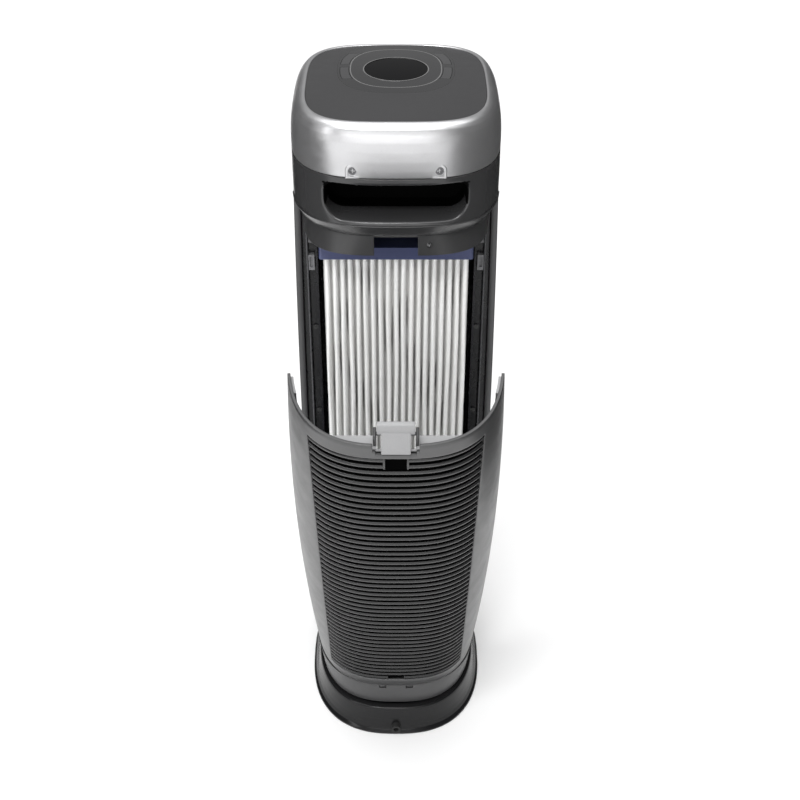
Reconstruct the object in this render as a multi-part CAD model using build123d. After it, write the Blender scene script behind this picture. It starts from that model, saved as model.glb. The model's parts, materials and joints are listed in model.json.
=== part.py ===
from build123d import *
from math import cos, pi, radians, sin
import os

# Tower air purifier, stood upright with its rear filter cover hanging open.
# Millimetres, +Z up, X across, +Y to the rear (the filter side), -Y to the front (the air outlet).
# Origin: centre of the base, on the surface it stands on.

# ---- driving dimensions -------------------------------------------------------------------------
TOTAL_HEIGHT = 715.0          # highest point of the domed top panel
HEAD_TOP = 663.4              # lower edge of the silver trim
HEAD_BOTTOM = 619.0           # the head's band ends and its chamfer starts
CHAMFER_BOTTOM = 606.5        # rear chamfer ends, skirt starts
SKIRT_BOTTOM = 585.6
COVER_TOP = 583.0             # rim of the rear cover when closed
COVER_BOTTOM = 64.6
RING_TOP = 62.5
RING_BOTTOM = 35.0
BASE_TOP = 33.0

BODY_HALF_WIDTH = 95.5        # widest half width of the barrel-shaped body
BASE_HALF_WIDTH = 95.5        # flange of the base
BASE_HALF_DEPTH = 121.5
PANEL_HALF_WIDTH = 78.4       # opening of the trim, which the top panel fills
PANEL_HALF_DEPTH = 85.4
PANEL_POWER = 3.7             # squareness of the superellipse outline

WALL = 2.6                    # moulded shell wall
EDGE_LIP = 6.0                # width of the front shell's rear-facing edge
SPLIT_Y = 28.0                # front shell and rear cover meet here
SEAM = 0.5                    # half the gap along that split
FIT = 0.1                     # clearance of parts that sit in one another
RUN = 0.05                    # radial clearance of a pin that turns in its hole

COVER_OPEN = 23.7             # degrees the cover leans out on its stop
HINGE_Y, HINGE_Z = 103.0, 60.5
LUG_RADIUS, PIN_RADIUS = 3.0, 1.5
LUG_INNER, LUG_OUTER = 11.0, 18.0
PIN_INNER, PIN_OUTER = 8.0, 21.0

WHEEL_RADIUS = 56.0           # fan wheel
WHEEL_Z = 200.0               # its axis above the floor
BLADES = 32

KEY_TRAVEL = 0.6
KEY_GAP = 0.4                 # round each key

FILTER_HALF_WIDTH = 68.0
FILTER_FRONT, FILTER_REAR = 25.5, 57.0
FILTER_BOTTOM, FILTER_TOP = 166.0, 567.5
PLEATS = 19

SLAT_PITCH = 9.85
SLAT_HEIGHT = 4.6
SLAT_BOTTOM, SLAT_TOP = 84.0, 560.0
WINDOW_HALF_WIDTH = 70.0

FLOOR_Z = 617.4               # underside of the head's floor plate
BAY_WALL_Y = 17.0             # front face of the wall between filter bay and fan
BAY_WALL = 2.5


# ---- shared shape helpers -----------------------------------------------------------------------
def block(x0, x1, y0, y1, z0, z1):
    return Pos((x0 + x1) / 2, (y0 + y1) / 2, (z0 + z1) / 2) * Box(x1 - x0, y1 - y0, z1 - z0)


def rod_z(x, y, z0, z1, radius):
    return Pos(x, y, (z0 + z1) / 2) * Cylinder(radius, z1 - z0)


def rod_y(x, z, y0, y1, radius):
    return Pos(x, (y0 + y1) / 2, z) * Rot(90, 0, 0) * Cylinder(radius, y1 - y0)


def rod_x(y, z, x0, x1, radius):
    return Pos((x0 + x1) / 2, y, z) * Rot(0, 90, 0) * Cylinder(radius, x1 - x0)


def oval_point(half_x, half_y, power, angle):
    reach = (abs(cos(angle) / half_x) ** power + abs(sin(angle) / half_y) ** power) ** (-1 / power)
    return reach * cos(angle), reach * sin(angle)


def oval(half_x, half_y, power, z=0.0, y=0.0, points=32):
    """Superellipse outline as one closed spline."""
    turns = [2 * pi * k / points for k in range(points)]
    spots = [oval_point(half_x, half_y, power, turn) for turn in turns]
    return Wire([Edge.make_spline([(px, py + y, z) for px, py in spots], periodic=True)])


def oval_slab(half_x, half_y, power, z0, z1, y=0.0):
    return extrude(make_face(oval(half_x, half_y, power, z0, y)), z1 - z0, dir=(0, 0, 1))


def oval_loft(sections, inset=0.0):
    """Solid through superellipses given as (z, half width, half depth, power)."""
    return Solid.make_loft([oval(a - inset, b - inset, n, z) for z, a, b, n in sections])


def joined(*shapes):
    """Touching pieces fused into one solid."""
    return shapes[0] + list(shapes[1:])


def group(shapes):
    return Compound(children=list(shapes))


def mirrored(shape):
    return mirror(shape, about=Plane.YZ)


# ---- outlines of the body -----------------------------------------------------------------------
def body_power(z):
    return 2.6 + 0.4 * z / HEAD_TOP


def body_half_depth(z):
    return 106.3 - 11.1 * (z - RING_TOP) / (HEAD_BOTTOM - RING_TOP)


def body_half_width(z):
    waist = 360.0
    drop = 7.0 if z < waist else 2.5
    reach = waist - RING_TOP if z < waist else HEAD_BOTTOM - waist
    return BODY_HALF_WIDTH - drop * ((z - waist) / reach) ** 2


def cover_half_width(z):
    return 95.4 - 1.13e-4 * (z - 310.0) ** 2


def cover_half_depth(z):
    return 106.3 - 11.3 * (z - COVER_BOTTOM) / (COVER_TOP - COVER_BOTTOM)


def heights(z0, z1, count):
    return [z0 + (z1 - z0) * k / (count - 1) for k in range(count)]


def body_solid(z0, z1, inset=0.0):
    return oval_loft([(z, body_half_width(z), body_half_depth(z), body_power(z))
                      for z in heights(z0, z1, 6)], inset)


def cover_solid(z0, z1, inset=0.0):
    return oval_loft([(z, cover_half_width(z), cover_half_depth(z), 2.8)
                      for z in heights(z0, z1, 7)], inset)


# ---- fasteners ----------------------------------------------------------------------------------
def cross_screw(head_radius, head_height, shank_radius, shank_length):
    """Cross-head screw: head top at z=0, shank downwards."""
    head = Pos(0, 0, -head_height / 2) * Cylinder(head_radius, head_height)
    shank = Pos(0, 0, -head_height - shank_length / 2) * Cylinder(shank_radius, shank_length)
    slot = head_radius * 1.2
    width = head_radius * 0.28
    depth = head_height * 0.45
    cross = [Pos(0, 0, -depth / 2) * Box(slot, width, depth),
             Pos(0, 0, -depth / 2) * Box(width, slot, depth)]
    return (head + shank) - cross


def screw_facing_rear(x, y, z, *sizes):
    return Pos(x, y, z) * Rot(-90, 0, 0) * cross_screw(*sizes)


def screw_facing_front(x, y, z, *sizes):
    return Pos(x, y, z) * Rot(90, 0, 0) * cross_screw(*sizes)


def screw_facing_down(x, y, z, *sizes):
    return Pos(x, y, z) * Rot(180, 0, 0) * cross_screw(*sizes)


# ---- base ---------------------------------------------------------------------------------------
PLATE_HALF_WIDTH, PLATE_HALF_DEPTH, PLATE_TOP = 91.0, 117.0, 2.5
POST_X, POST_Y, POST_RADIUS = 62.0, 72.0, 4.5
GLAND_HALF_WIDTH, GLAND_SHOULDER_Z = 5.0, 8.5


def gland_shape(y0, y1):
    """Arched outline of the cord inlet, between two depths."""
    arch = rod_y(0, GLAND_SHOULDER_Z, y0, y1, GLAND_HALF_WIDTH)
    return arch + block(-GLAND_HALF_WIDTH, GLAND_HALF_WIDTH, y0, y1, 3.2, GLAND_SHOULDER_Z)


def base_posts():
    return [(sx * POST_X, sy * POST_Y) for sx in (-1, 1) for sy in (-1, 1)]


def base_plinth():
    """Hollow flared foot with screw posts, a rebate for its bottom plate and the cord's opening."""
    lip = 3.0
    flare = [(lip, 93.8, 119.8, 2.5), (14.0, 90.4, 116.4, 2.5), (BASE_TOP, 87.4, 113.2, 2.5)]
    skirt = oval_slab(BASE_HALF_WIDTH, BASE_HALF_DEPTH, 2.5, 0, lip) + oval_loft(flare)
    roof = BASE_TOP - 3.0
    cavity = [(PLATE_TOP, 90.0, 116.0, 2.5), (14.0, 87.2, 113.2, 2.5), (roof, 84.6, 110.4, 2.5)]
    rebate = oval_slab(PLATE_HALF_WIDTH + FIT, PLATE_HALF_DEPTH + FIT, 2.5, -1, PLATE_TOP)
    shell = skirt - oval_loft(cavity) - rebate - gland_shape(104, 130)
    for x, y in base_posts():
        shell = shell + rod_z(x, y, PLATE_TOP, roof + 1, POST_RADIUS) - rod_z(x, y, PLATE_TOP, 20, 1.6)
    return shell


def base_bottom_plate():
    plate = oval_slab(PLATE_HALF_WIDTH, PLATE_HALF_DEPTH, 2.5, 0, PLATE_TOP)
    for x, y in base_posts():
        plate = plate - rod_z(x, y, -1, 1.6, 3.6) - rod_z(x, y, -1, 3, 1.8)
    for x, y in foot_spots():
        plate = plate - rod_z(x, y, -1, 1.5, 8.0 + FIT)
    return plate


def foot_spots():
    return [(sx * 48.0, sy * 88.0) for sx in (-1, 1) for sy in (-1, 1)]


def base_feet():
    return group([rod_z(x, y, 0, 1.5, 8.0) for x, y in foot_spots()])


def base_screws():
    return group([screw_facing_down(x, y, 0.2, 3.2, 1.4, 1.5, 10.0) for x, y in base_posts()])


def ballast_plate():
    return block(-50, 50, -60, 60, PLATE_TOP, PLATE_TOP + 12.0)


def cord_inlet():
    return gland_shape(108, BASE_HALF_DEPTH + 1.0) - rod_y(0, GLAND_SHOULDER_Z, 100, 130, 3.0)


def neck_collar():
    return oval_slab(81.0, 103.5, 2.6, BASE_TOP, RING_BOTTOM) - oval_slab(70, 90, 2.6, BASE_TOP, RING_BOTTOM)


# ---- lower ring and cover hinge -----------------------------------------------------------------
def lower_ring():
    """Flared ring on the neck, with a seat and a pocket for each hinge lug of the rear cover."""
    flare = [(RING_BOTTOM, 84.2, 105.8, 2.6), (48.0, 86.2, 106.2, 2.6), (RING_TOP, 88.4, 106.3, 2.64)]
    ring = oval_loft(flare) - oval_loft([(z + (3.0 if z == RING_BOTTOM else 0.0), a, b, n)
                                         for z, a, b, n in flare], 3.2)
    seat = block(PIN_INNER - 3, PIN_OUTER + 3, HINGE_Y - 8, HINGE_Y + 1.8, HINGE_Z - 5.5, HINGE_Z + 3.1)
    pocket = block(LUG_INNER - 0.4, LUG_OUTER + 0.4, 90, 120, HINGE_Z - LUG_RADIUS - 0.6, 70)
    pin_hole = rod_x(HINGE_Y, HINGE_Z, PIN_INNER, PIN_OUTER, PIN_RADIUS)
    for flip in (False, True):
        pieces = [mirrored(item) if flip else item for item in (seat, pocket, pin_hole)]
        ring = ring + pieces[0] - pieces[1] - pieces[2]
    return ring


def hinge_pins():
    pin = rod_x(HINGE_Y, HINGE_Z, PIN_INNER, PIN_OUTER, PIN_RADIUS)
    return group([pin, mirrored(pin)])


# ---- front shell and its grille -----------------------------------------------------------------
SHELL_BOTTOM, SHELL_TOP = RING_TOP + SEAM, HEAD_BOTTOM - SEAM
OUTLET_HALF_WIDTH, OUTLET_BOTTOM, OUTLET_TOP = 62.0, 440.0, 586.0
OUTLET_SLAT_PITCH, OUTLET_SLAT_HEIGHT = 9.6, 5.0


def front_shell():
    """Front half of the body with a rear-facing lip and the outlet window."""
    rear_edge = SPLIT_Y - SEAM
    outer = body_solid(SHELL_BOTTOM, SHELL_TOP) & block(-120, 120, -130, rear_edge, 0, 700)
    hollow = body_solid(SHELL_BOTTOM - 1, SHELL_TOP + 1, WALL) & block(-120, 120, -130, rear_edge - 6, 0, 700)
    throat = body_solid(SHELL_BOTTOM - 1, SHELL_TOP + 1, EDGE_LIP) & block(-120, 120, 0, 60, 0, 700)
    outlet = block(-OUTLET_HALF_WIDTH, OUTLET_HALF_WIDTH, -130, -40, OUTLET_BOTTOM, OUTLET_TOP)
    return outer - hollow - throat - outlet


def curved_slat(half_width, inset, depth, a, b, power, z, height, side):
    """Slat that follows the superellipse a by b on one side of the body, cut square at its ends."""
    def edge_points(shrink):
        spots = []
        for k in range(13):
            x = half_width * (k / 6 - 1)
            y = (b - shrink) * (1 - (abs(x) / (a - shrink)) ** power) ** (1 / power)
            spots.append((x, side * y, z))
        return spots
    front, back = edge_points(inset), edge_points(inset + depth)
    outline = Wire([Edge.make_spline(front), Edge.make_line(front[-1], back[-1]),
                    Edge.make_spline(back), Edge.make_line(back[0], front[0])])
    return extrude(make_face(outline), height, dir=(0, 0, 1))


def outlet_grille():
    """Curved slats across the outlet window."""
    slats = []
    z = OUTLET_BOTTOM + 4.0
    while z + OUTLET_SLAT_HEIGHT < OUTLET_TOP:
        slats.append(curved_slat(OUTLET_HALF_WIDTH, 0.4, 2.0, body_half_width(z), body_half_depth(z),
                                 body_power(z), z, OUTLET_SLAT_HEIGHT, -1))
        z += OUTLET_SLAT_PITCH
    return group(slats)


# ---- filter bay ---------------------------------------------------------------------------------
RIB_X = 81.7                  # inner face of the side channel's upright edge
RAIL_BOTTOM, RAIL_TOP = 110.0, 596.0
SIDE_WALL_X = 71.2
SHELF_TOP = 152.0
CEILING_BOTTOM, CEILING_TOP = 590.0, 592.0
CEILING_REAR = 56.0            # stops short of the skirt's corners
SCROLL_SCREW_SPOTS = [(66.0, 575.0), (-66.0, 575.0), (66.0, 330.0), (-66.0, 380.0)]


def bay_half_width(z):
    """Half width of the space inside the front shell at the bay wall, less a little clearance."""
    inset = WALL + 0.4
    a, b, n = body_half_width(z) - inset, body_half_depth(z) - inset, body_power(z)
    return a * (1 - ((BAY_WALL_Y + BAY_WALL) / b) ** n) ** (1 / n)


def rear_frame():
    """Upright wall between the filter bay and the fan, with its grid of air openings."""
    y0, y1 = BAY_WALL_Y, BAY_WALL_Y + BAY_WALL
    right = [(bay_half_width(z), 0, z) for z in heights(SHELL_BOTTOM + 1, 600, 8)]
    left = [(-x, 0, z) for x, _, z in reversed(right)]
    plate = Pos(0, y0, 0) * extrude(make_face(Polyline(*right, *left, close=True)), BAY_WALL, dir=(0, 1, 0))
    openings = [block(-56, 56, 0, 60, z, z + 58) for z in (160, 224, 288, 352, 416, 480)]
    screws = [rod_y(x, z, y0 - 1, y1 + 1, 1.2 + RUN) for x, z in channel_screw_spots()]
    tips = [rod_y(x, z, y0 - 1, y1 + 1, 1.1 + RUN) for x, z in SCROLL_SCREW_SPOTS]
    return plate - openings - screws - tips


def side_rails():
    """Upright edges of the two side channels."""
    y0 = BAY_WALL_Y + BAY_WALL
    rail = block(RIB_X, RIB_X + 1.8, y0, 25.5, RAIL_BOTTOM, RAIL_TOP)
    return group([rail, mirrored(rail)])


def filter_cradle():
    """Side walls, shelf and ceiling that hold the filter."""
    y0 = BAY_WALL_Y + BAY_WALL
    side = block(SIDE_WALL_X, SIDE_WALL_X + 2, y0, 50, SHELF_TOP - 3, CEILING_TOP)
    shelf = block(-SIDE_WALL_X - 1, SIDE_WALL_X + 1, y0, 60, SHELF_TOP - 3, SHELF_TOP)
    ceiling = block(-SIDE_WALL_X - 1, SIDE_WALL_X + 1, y0, CEILING_REAR, CEILING_BOTTOM, CEILING_TOP)
    return joined(shelf, side, mirrored(side), ceiling)


def side_catches():
    y0 = BAY_WALL_Y + BAY_WALL
    boss = block(76.0, RIB_X - FIT, y0, y0 + 5, 535, 551) - block(77.4, 80.4, y0 + 3, 30, 538, 549)
    clip = block(76.0, RIB_X - FIT, y0, y0 + 3, 563, 573)
    return group([boss, clip, mirrored(boss), mirrored(clip)])


def channel_screw_spots():
    return [(side * 77.4, z) for side in (-1, 1) for z in (110, 371, 470)]


def channel_screws():
    return group([screw_facing_rear(x, BAY_WALL_Y + BAY_WALL + 1.6, z, 2.4, 1.6, 1.2, 7.0)
                  for x, z in channel_screw_spots()])


def filter_pleats():
    """Square-wave fold of thin media: sheets front to back, joined in turn at front and rear."""
    sheet = 0.9
    pitch = 2 * FILTER_HALF_WIDTH / PLEATS
    half = pitch / 2
    start = -FILTER_HALF_WIDTH + half / 2
    flat = Sketch()
    for k in range(2 * PLEATS):
        x = start + k * half
        flat += Pos(x, (FILTER_FRONT + FILTER_REAR) / 2) * Rectangle(sheet, FILTER_REAR - FILTER_FRONT)
        if k < 2 * PLEATS - 1:
            y = FILTER_REAR - sheet / 2 if k % 2 == 0 else FILTER_FRONT + sheet / 2
            flat += Pos(x + half / 2, y) * Rectangle(half, sheet)
    return extrude(Pos(0, 0, FILTER_BOTTOM) * flat, FILTER_TOP - FILTER_BOTTOM)


def filter_end_caps():
    half = FILTER_HALF_WIDTH + 1.5
    top = block(-half, half, FILTER_FRONT - 3, 62, FILTER_TOP, 579.5)
    bottom = block(-half, half, FILTER_FRONT - 3, 62, SHELF_TOP, FILTER_BOTTOM)
    caps = []
    for cap in (top, bottom):
        upright = cap.edges().filter_by(Axis.Z)
        caps.append(fillet(upright, 2.5))
    return group(caps)


# ---- fan ----------------------------------------------------------------------------------------
SCROLL_START, SCROLL_GROWTH = 60.0, 19.0
SCROLL_FRONT, SCROLL_SPLIT, SCROLL_REAR = -52.0, -20.0, 12.0
SCROLL_TOP = 592.0
CUTOFF_ANGLE = 50.0
DUCT_SHOULDER = 165.0          # the duct reaches its full width this far above the axis
INLET_RADIUS = 42.0
SCROLL_WALL = 2.0
DUCT_HALF_WIDTH = 60.0
MOTOR_BOSS = 12.0
MOTOR_RADIUS = 33.0
MOTOR_FRONT, MOTOR_REAR = -88.0, -54.5
MOUNT_RADIUS = 40.0
SHAFT_RADIUS = 4.0
HUB_FRONT, HUB_REAR = -46.0, -27.0


def scroll_outline(extra):
    """Volute that grows round the wheel, then a duct straight up to the outlet."""
    start = radians(CUTOFF_ANGLE)
    spots = []
    for k in range(13):
        angle = start + (2 * pi - start) * k / 12
        radius = SCROLL_START + SCROLL_GROWTH * k / 12 + extra
        spots.append((radius * cos(angle), 0, WHEEL_Z + radius * sin(angle)))
    wide = SCROLL_START + SCROLL_GROWTH + extra
    top = SCROLL_TOP + extra
    corners = [spots[-1], (wide, 0, top), (-wide, 0, top), (-wide, 0, WHEEL_Z + DUCT_SHOULDER), spots[0]]
    sides = [Edge.make_line(here, there) for here, there in zip(corners, corners[1:])]
    return make_face(Wire([Edge.make_spline(spots)] + sides))


def scroll_solid(extra, y0, y1):
    return Pos(0, y0, 0) * extrude(scroll_outline(extra), y1 - y0, dir=(0, 1, 0))


def scroll_rear():
    """Rear half of the volute: plate with the inlet hole, and half of the side wall."""
    wall = scroll_solid(SCROLL_WALL, SCROLL_SPLIT, SCROLL_REAR)
    space = scroll_solid(0, SCROLL_SPLIT, SCROLL_REAR - SCROLL_WALL)
    return wall - space - rod_y(0, WHEEL_Z, 0, 30, INLET_RADIUS + 3) - scroll_screw_holes(1.2)


def scroll_front():
    """Front half of the volute: plate with the motor boss and the outlet window."""
    wall = scroll_solid(SCROLL_WALL, SCROLL_FRONT, SCROLL_SPLIT)
    space = scroll_solid(0, SCROLL_FRONT + SCROLL_WALL, SCROLL_SPLIT)
    window = block(-DUCT_HALF_WIDTH, DUCT_HALF_WIDTH, -60, -40, OUTLET_BOTTOM, OUTLET_TOP)
    shell = wall - space - window - rod_y(0, WHEEL_Z, -60, -40, MOTOR_BOSS)
    for x, z in mount_spots():
        shell = shell - rod_y(x, z, -60, -40, 2.6)
    return shell


def scroll_screw_holes(radius):
    holes = [rod_y(x, z, 0, 30, radius) for x, z in SCROLL_SCREW_SPOTS]
    return group(holes)


def scroll_screws():
    """Screws that hold the volute's rear plate to the bay wall."""
    return group([screw_facing_front(x, SCROLL_REAR - SCROLL_WALL - 1.6, z, 2.4, 1.5, 1.1, 9.0)
                  for x, z in SCROLL_SCREW_SPOTS])


def inlet_ring():
    """Bell mouth in the rear plate, seen in section as a quarter-round lip."""
    lip = 5.0
    section = [(INLET_RADIUS - 1, 0), (INLET_RADIUS + 2.9, 0), (INLET_RADIUS + 2.9, 3),
               (INLET_RADIUS + lip + 1.5, 3), (INLET_RADIUS + lip + 1.5, 4.6), (INLET_RADIUS + 1, 4.6),
               (INLET_RADIUS - 1, 2.6)]
    profile = make_face(Polyline(*[(x, 0, z) for x, z in section], close=True))
    ring = revolve(profile, Axis.Z)
    return Pos(0, SCROLL_REAR - 2.6, WHEEL_Z) * Rot(-90, 0, 0) * ring


def outlet_duct():
    outer = block(-DUCT_HALF_WIDTH - 2, DUCT_HALF_WIDTH + 2, -80, SCROLL_FRONT - 0.1,
                  OUTLET_BOTTOM - 2, OUTLET_TOP + 2)
    inner = block(-DUCT_HALF_WIDTH, DUCT_HALF_WIDTH, -90, -40, OUTLET_BOTTOM, OUTLET_TOP)
    return outer - inner


def impeller():
    """Squirrel-cage wheel: hub disc, boss, forward-curved blades and end ring."""
    disc = Cylinder(WHEEL_RADIUS, 2.0)
    depth = HUB_REAR - HUB_FRONT
    boss = Pos(0, 0, (depth - 1) / 2) * Cylinder(9.0, depth + 1)
    ring = Pos(0, 0, 48) * (Cylinder(WHEEL_RADIUS, 3.0) - Cylinder(WHEEL_RADIUS - 7.0, 3.0))
    blade_face = blade_section()
    turns = [Rot(0, 0, 360 * k / BLADES) for k in range(BLADES)]
    blades = [turn * extrude(blade_face, 47.0) for turn in turns]
    wheel = joined(disc, boss, ring, *blades) - Cylinder(SHAFT_RADIUS, 80)
    return Pos(0, HUB_FRONT, WHEEL_Z) * Rot(-90, 0, 0) * wheel


def blade_section():
    outer, inner, thick = WHEEL_RADIUS - 0.6, WHEEL_RADIUS - 7.0, 1.0
    bow = 1.8
    middle = (outer + inner) / 2
    front = Edge.make_three_point_arc((inner, 0), (middle, bow), (outer, 0.6))
    back = Edge.make_three_point_arc((outer, 0.6 + thick), (middle, bow + thick), (inner, thick))
    caps = [Edge.make_line((outer, 0.6), (outer, 0.6 + thick)), Edge.make_line((inner, thick), (inner, 0))]
    return make_face(Wire([front, caps[0], back, caps[1]]))


def motor_shaft():
    return rod_y(0, WHEEL_Z, MOTOR_FRONT + 6, -18, SHAFT_RADIUS)


def hub_nut():
    nut = extrude(RegularPolygon(6.5, 6), 5) - Cylinder(SHAFT_RADIUS, 20)
    return Pos(0, HUB_REAR, WHEEL_Z) * Rot(-90, 0, 0) * nut


def motor():
    """Motor can with its nose, three mounting ears and front vents."""
    can = rod_y(0, WHEEL_Z, MOTOR_FRONT, MOTOR_REAR, MOTOR_RADIUS)
    nose = rod_y(0, WHEEL_Z, MOTOR_REAR, -51, MOTOR_BOSS - 0.5)
    ears = []
    for x, z in mount_spots():
        ears.append(rod_y(x, z, MOTOR_REAR - 2.5, MOTOR_REAR, 6.5))
        ears.append(Pos(x * 0.86, MOTOR_REAR - 1.25, WHEEL_Z + (z - WHEEL_Z) * 0.86) * Box(9, 2.5, 9))
    body = joined(can, nose, *ears) - rod_y(0, WHEEL_Z, MOTOR_FRONT + 4, -40, SHAFT_RADIUS + RUN)
    for x, z in mount_spots():
        body = body - rod_y(x, z, -60, -50, 1.6)
    vents = [rod_y(22 * cos(a), WHEEL_Z + 22 * sin(a), MOTOR_FRONT - 1, MOTOR_FRONT + 2, 3.0)
             for a in [2 * pi * k / 8 for k in range(8)]]
    return body - vents


def mount_spots():
    return [(MOUNT_RADIUS * cos(a), WHEEL_Z + MOUNT_RADIUS * sin(a))
            for a in [radians(90 + 120 * k) for k in range(3)]]


def motor_mounts():
    """Rubber bushes between the motor's ears and the volute."""
    bushes = []
    for x, z in mount_spots():
        bush = rod_y(x, z, MOTOR_REAR, SCROLL_FRONT, 5.5) + rod_y(x, z, SCROLL_FRONT, -49.6, 2.5)
        bushes.append(bush - rod_y(x, z, -70, -40, 1.6))
    return group(bushes)


def motor_screws():
    return group([screw_facing_front(x, MOTOR_REAR - 2.5 - 1.7, z, 3.2, 1.7, 1.5, 8.0)
                  for x, z in mount_spots()])


# ---- lamp and electronics -----------------------------------------------------------------------
LAMP_Y, LAMP_RADIUS = -4.0, 7.5
LAMP_BOTTOM, LAMP_TOP = 416.0, 566.0


def uv_lamp():
    tube = rod_z(0, LAMP_Y, LAMP_BOTTOM + 8, LAMP_TOP - 8, LAMP_RADIUS)
    tube = tube - rod_z(0, LAMP_Y, LAMP_BOTTOM + 9, LAMP_TOP - 9, LAMP_RADIUS - 0.8)
    caps = [rod_z(0, LAMP_Y, LAMP_BOTTOM, LAMP_BOTTOM + 8, LAMP_RADIUS),
            rod_z(0, LAMP_Y, LAMP_TOP - 8, LAMP_TOP, LAMP_RADIUS)]
    return joined(tube, *caps)


def uv_sockets():
    low = block(-11, 11, LAMP_Y - 11, SCROLL_REAR - SCROLL_WALL, LAMP_BOTTOM - 8, LAMP_BOTTOM + 5)
    high = block(-11, 11, LAMP_Y - 11, SCROLL_REAR - SCROLL_WALL, LAMP_TOP - 5, LAMP_TOP + 8)
    bore = rod_z(0, LAMP_Y, LAMP_BOTTOM, LAMP_TOP, LAMP_RADIUS)
    return group([low - bore, high - bore])


def uv_reflector():
    """Thin aluminium trough behind the lamp."""
    outer = rod_z(0, LAMP_Y, LAMP_BOTTOM + 12, LAMP_TOP - 12, 13.0)
    inner = rod_z(0, LAMP_Y, LAMP_BOTTOM, LAMP_TOP, 12.2)
    return (outer - inner) & block(-20, 20, LAMP_Y + 2, 30, 0, 700)


BOARD_BOTTOM, BOARD_TOP = 70.0, 112.0


def power_board():
    """Mains board with its transformer, capacitors and relay, on four posts."""
    board = block(-46, 46, 4.0, 5.6, BOARD_BOTTOM, BOARD_TOP)
    posts = [rod_y(sx * 41, z, 5.6, BAY_WALL_Y, 3.0) for sx in (-1, 1) for z in (75, 107)]
    goods = [block(-38, -8, -20, 4, 78, 104), block(26, 42, -8, 4, 90, 106),
             rod_y(8, 84, -16, 4, 6.0), rod_y(8, 100, -12, 4, 5.0), block(20, 42, -6, 4, 74, 84)]
    return joined(board, *posts, *goods)


# ---- head ---------------------------------------------------------------------------------------
HANDLE_HALF_WIDTH, HANDLE_BOTTOM, HANDLE_TOP = 61.0, 622.6, 656.4
HANDLE_DEPTH_Y = 50.0
NOTCH_HALF_WIDTH, NOTCH_TOP = 19.25, 604.0
SCREW_X, SCREW_Z = 36.5, 670.5
SKIRT_SCREW_X, SKIRT_SCREW_Z = -29.0, 597.0


def head_band_sections():
    return [(HEAD_BOTTOM, 92.8, 95.4, 2.98), (640.0, 92.9, 95.6, 3.0), (HEAD_TOP - 0.4, 92.4, 95.0, 3.0)]


def chamfer_sections():
    return [(CHAMFER_BOTTOM, 86.6, 88.8, 2.85), (HEAD_BOTTOM, 92.8, 95.4, 2.98)]


def handle_opening(grow, y0, y1):
    """Slot profile: small radii above, large radii below."""
    height = HANDLE_TOP - HANDLE_BOTTOM + 2 * grow
    face = Rectangle(2 * (HANDLE_HALF_WIDTH + grow), height)
    low = face.vertices().group_by(Axis.Y)[0]
    face = fillet(low, 18.0 + grow)
    high = [v for v in face.vertices() if v.Y > height / 2 - 0.01]
    face = fillet(high, 9.0 + grow)
    solid = extrude(face, y1 - y0)
    return Pos(0, y1, (HANDLE_TOP + HANDLE_BOTTOM) / 2) * Rot(90, 0, 0) * solid


def head_shell():
    """Band round the head, open at the handle, and the chamfer below it at the rear."""
    band = oval_loft(head_band_sections()) - oval_loft([(z + dz, a, b, n) for dz, (z, a, b, n) in
                                                        zip((-1, 0, 1), head_band_sections())], WALL)
    slope = Solid.make_loft([oval(a, b, n, z) for z, a, b, n in chamfer_sections()], ruled=True)
    hollow = Solid.make_loft([oval(a - WALL, b - WALL, n, z + dz) for dz, (z, a, b, n) in
                              zip((-0.01, 0.01), chamfer_sections())], ruled=True)
    chamfer = (slope - hollow) & block(-120, 120, SPLIT_Y, 130, 600, HEAD_BOTTOM)
    return band + chamfer - handle_opening(0, 50, 130)


def handle_pocket():
    """Cup behind the handle opening."""
    cup = handle_opening(1.6, HANDLE_DEPTH_Y - 1.6, 130) - handle_opening(0, HANDLE_DEPTH_Y, 130)
    return cup & oval_loft([(z + dz, a, b, n) for dz, (z, a, b, n) in
                            zip((-1, 0, 1), head_band_sections())], WALL + 0.05)


def head_floor():
    return oval_slab(85.5, 88.5, 3.0, FLOOR_Z, FLOOR_Z + 2.2)


def skirt():
    """Band below the chamfer, notched for the latch."""
    top = (CHAMFER_BOTTOM - 0.1, 85.6, 88.0, 2.85)
    low = (SKIRT_BOTTOM, 84.2, 87.6, 3.5)
    outer = Solid.make_loft([oval(a, b, n, z) for z, a, b, n in (low, top)], ruled=True)
    inner = Solid.make_loft([oval(a - WALL, b - WALL, n, z + dz) for dz, (z, a, b, n) in
                             zip((-0.01, 0.01), (low, top))], ruled=True)
    band = (outer - inner) & block(-120, 120, SPLIT_Y, 130, 500, 700)
    notch = block(-NOTCH_HALF_WIDTH, NOTCH_HALF_WIDTH, 60, 130, 500, NOTCH_TOP)
    return band - notch - rod_y(SKIRT_SCREW_X, SKIRT_SCREW_Z, 60, 130, 1.2 + RUN)


def skirt_screw():
    return screw_facing_rear(SKIRT_SCREW_X, 88.4, SKIRT_SCREW_Z, 2.3, 1.4, 1.2, 8.0)


def trim_sections(inset=0.0, lower=0.0):
    """Bulging band: nearly upright at its foot, rolling in to the rim round the top panel.
    The first section lies below the foot, where the band is cut off level."""
    rise = TOTAL_HEIGHT - 3.4 - HEAD_TOP
    sections = []
    for turn in (-14, 0, 14, 28, 42, 55, 67, 79, 90):
        angle = radians(turn)
        inward = (1 - cos(angle)) ** 1.15 if turn > 0 else 0.0
        sections.append((HEAD_TOP + rise * sin(angle) - lower, 92.6 - 13.4 * inward - inset,
                         94.9 - 8.7 * inward - inset, 3.0 + 0.6 * max(turn, 0) / 90))
    return sections


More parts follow.
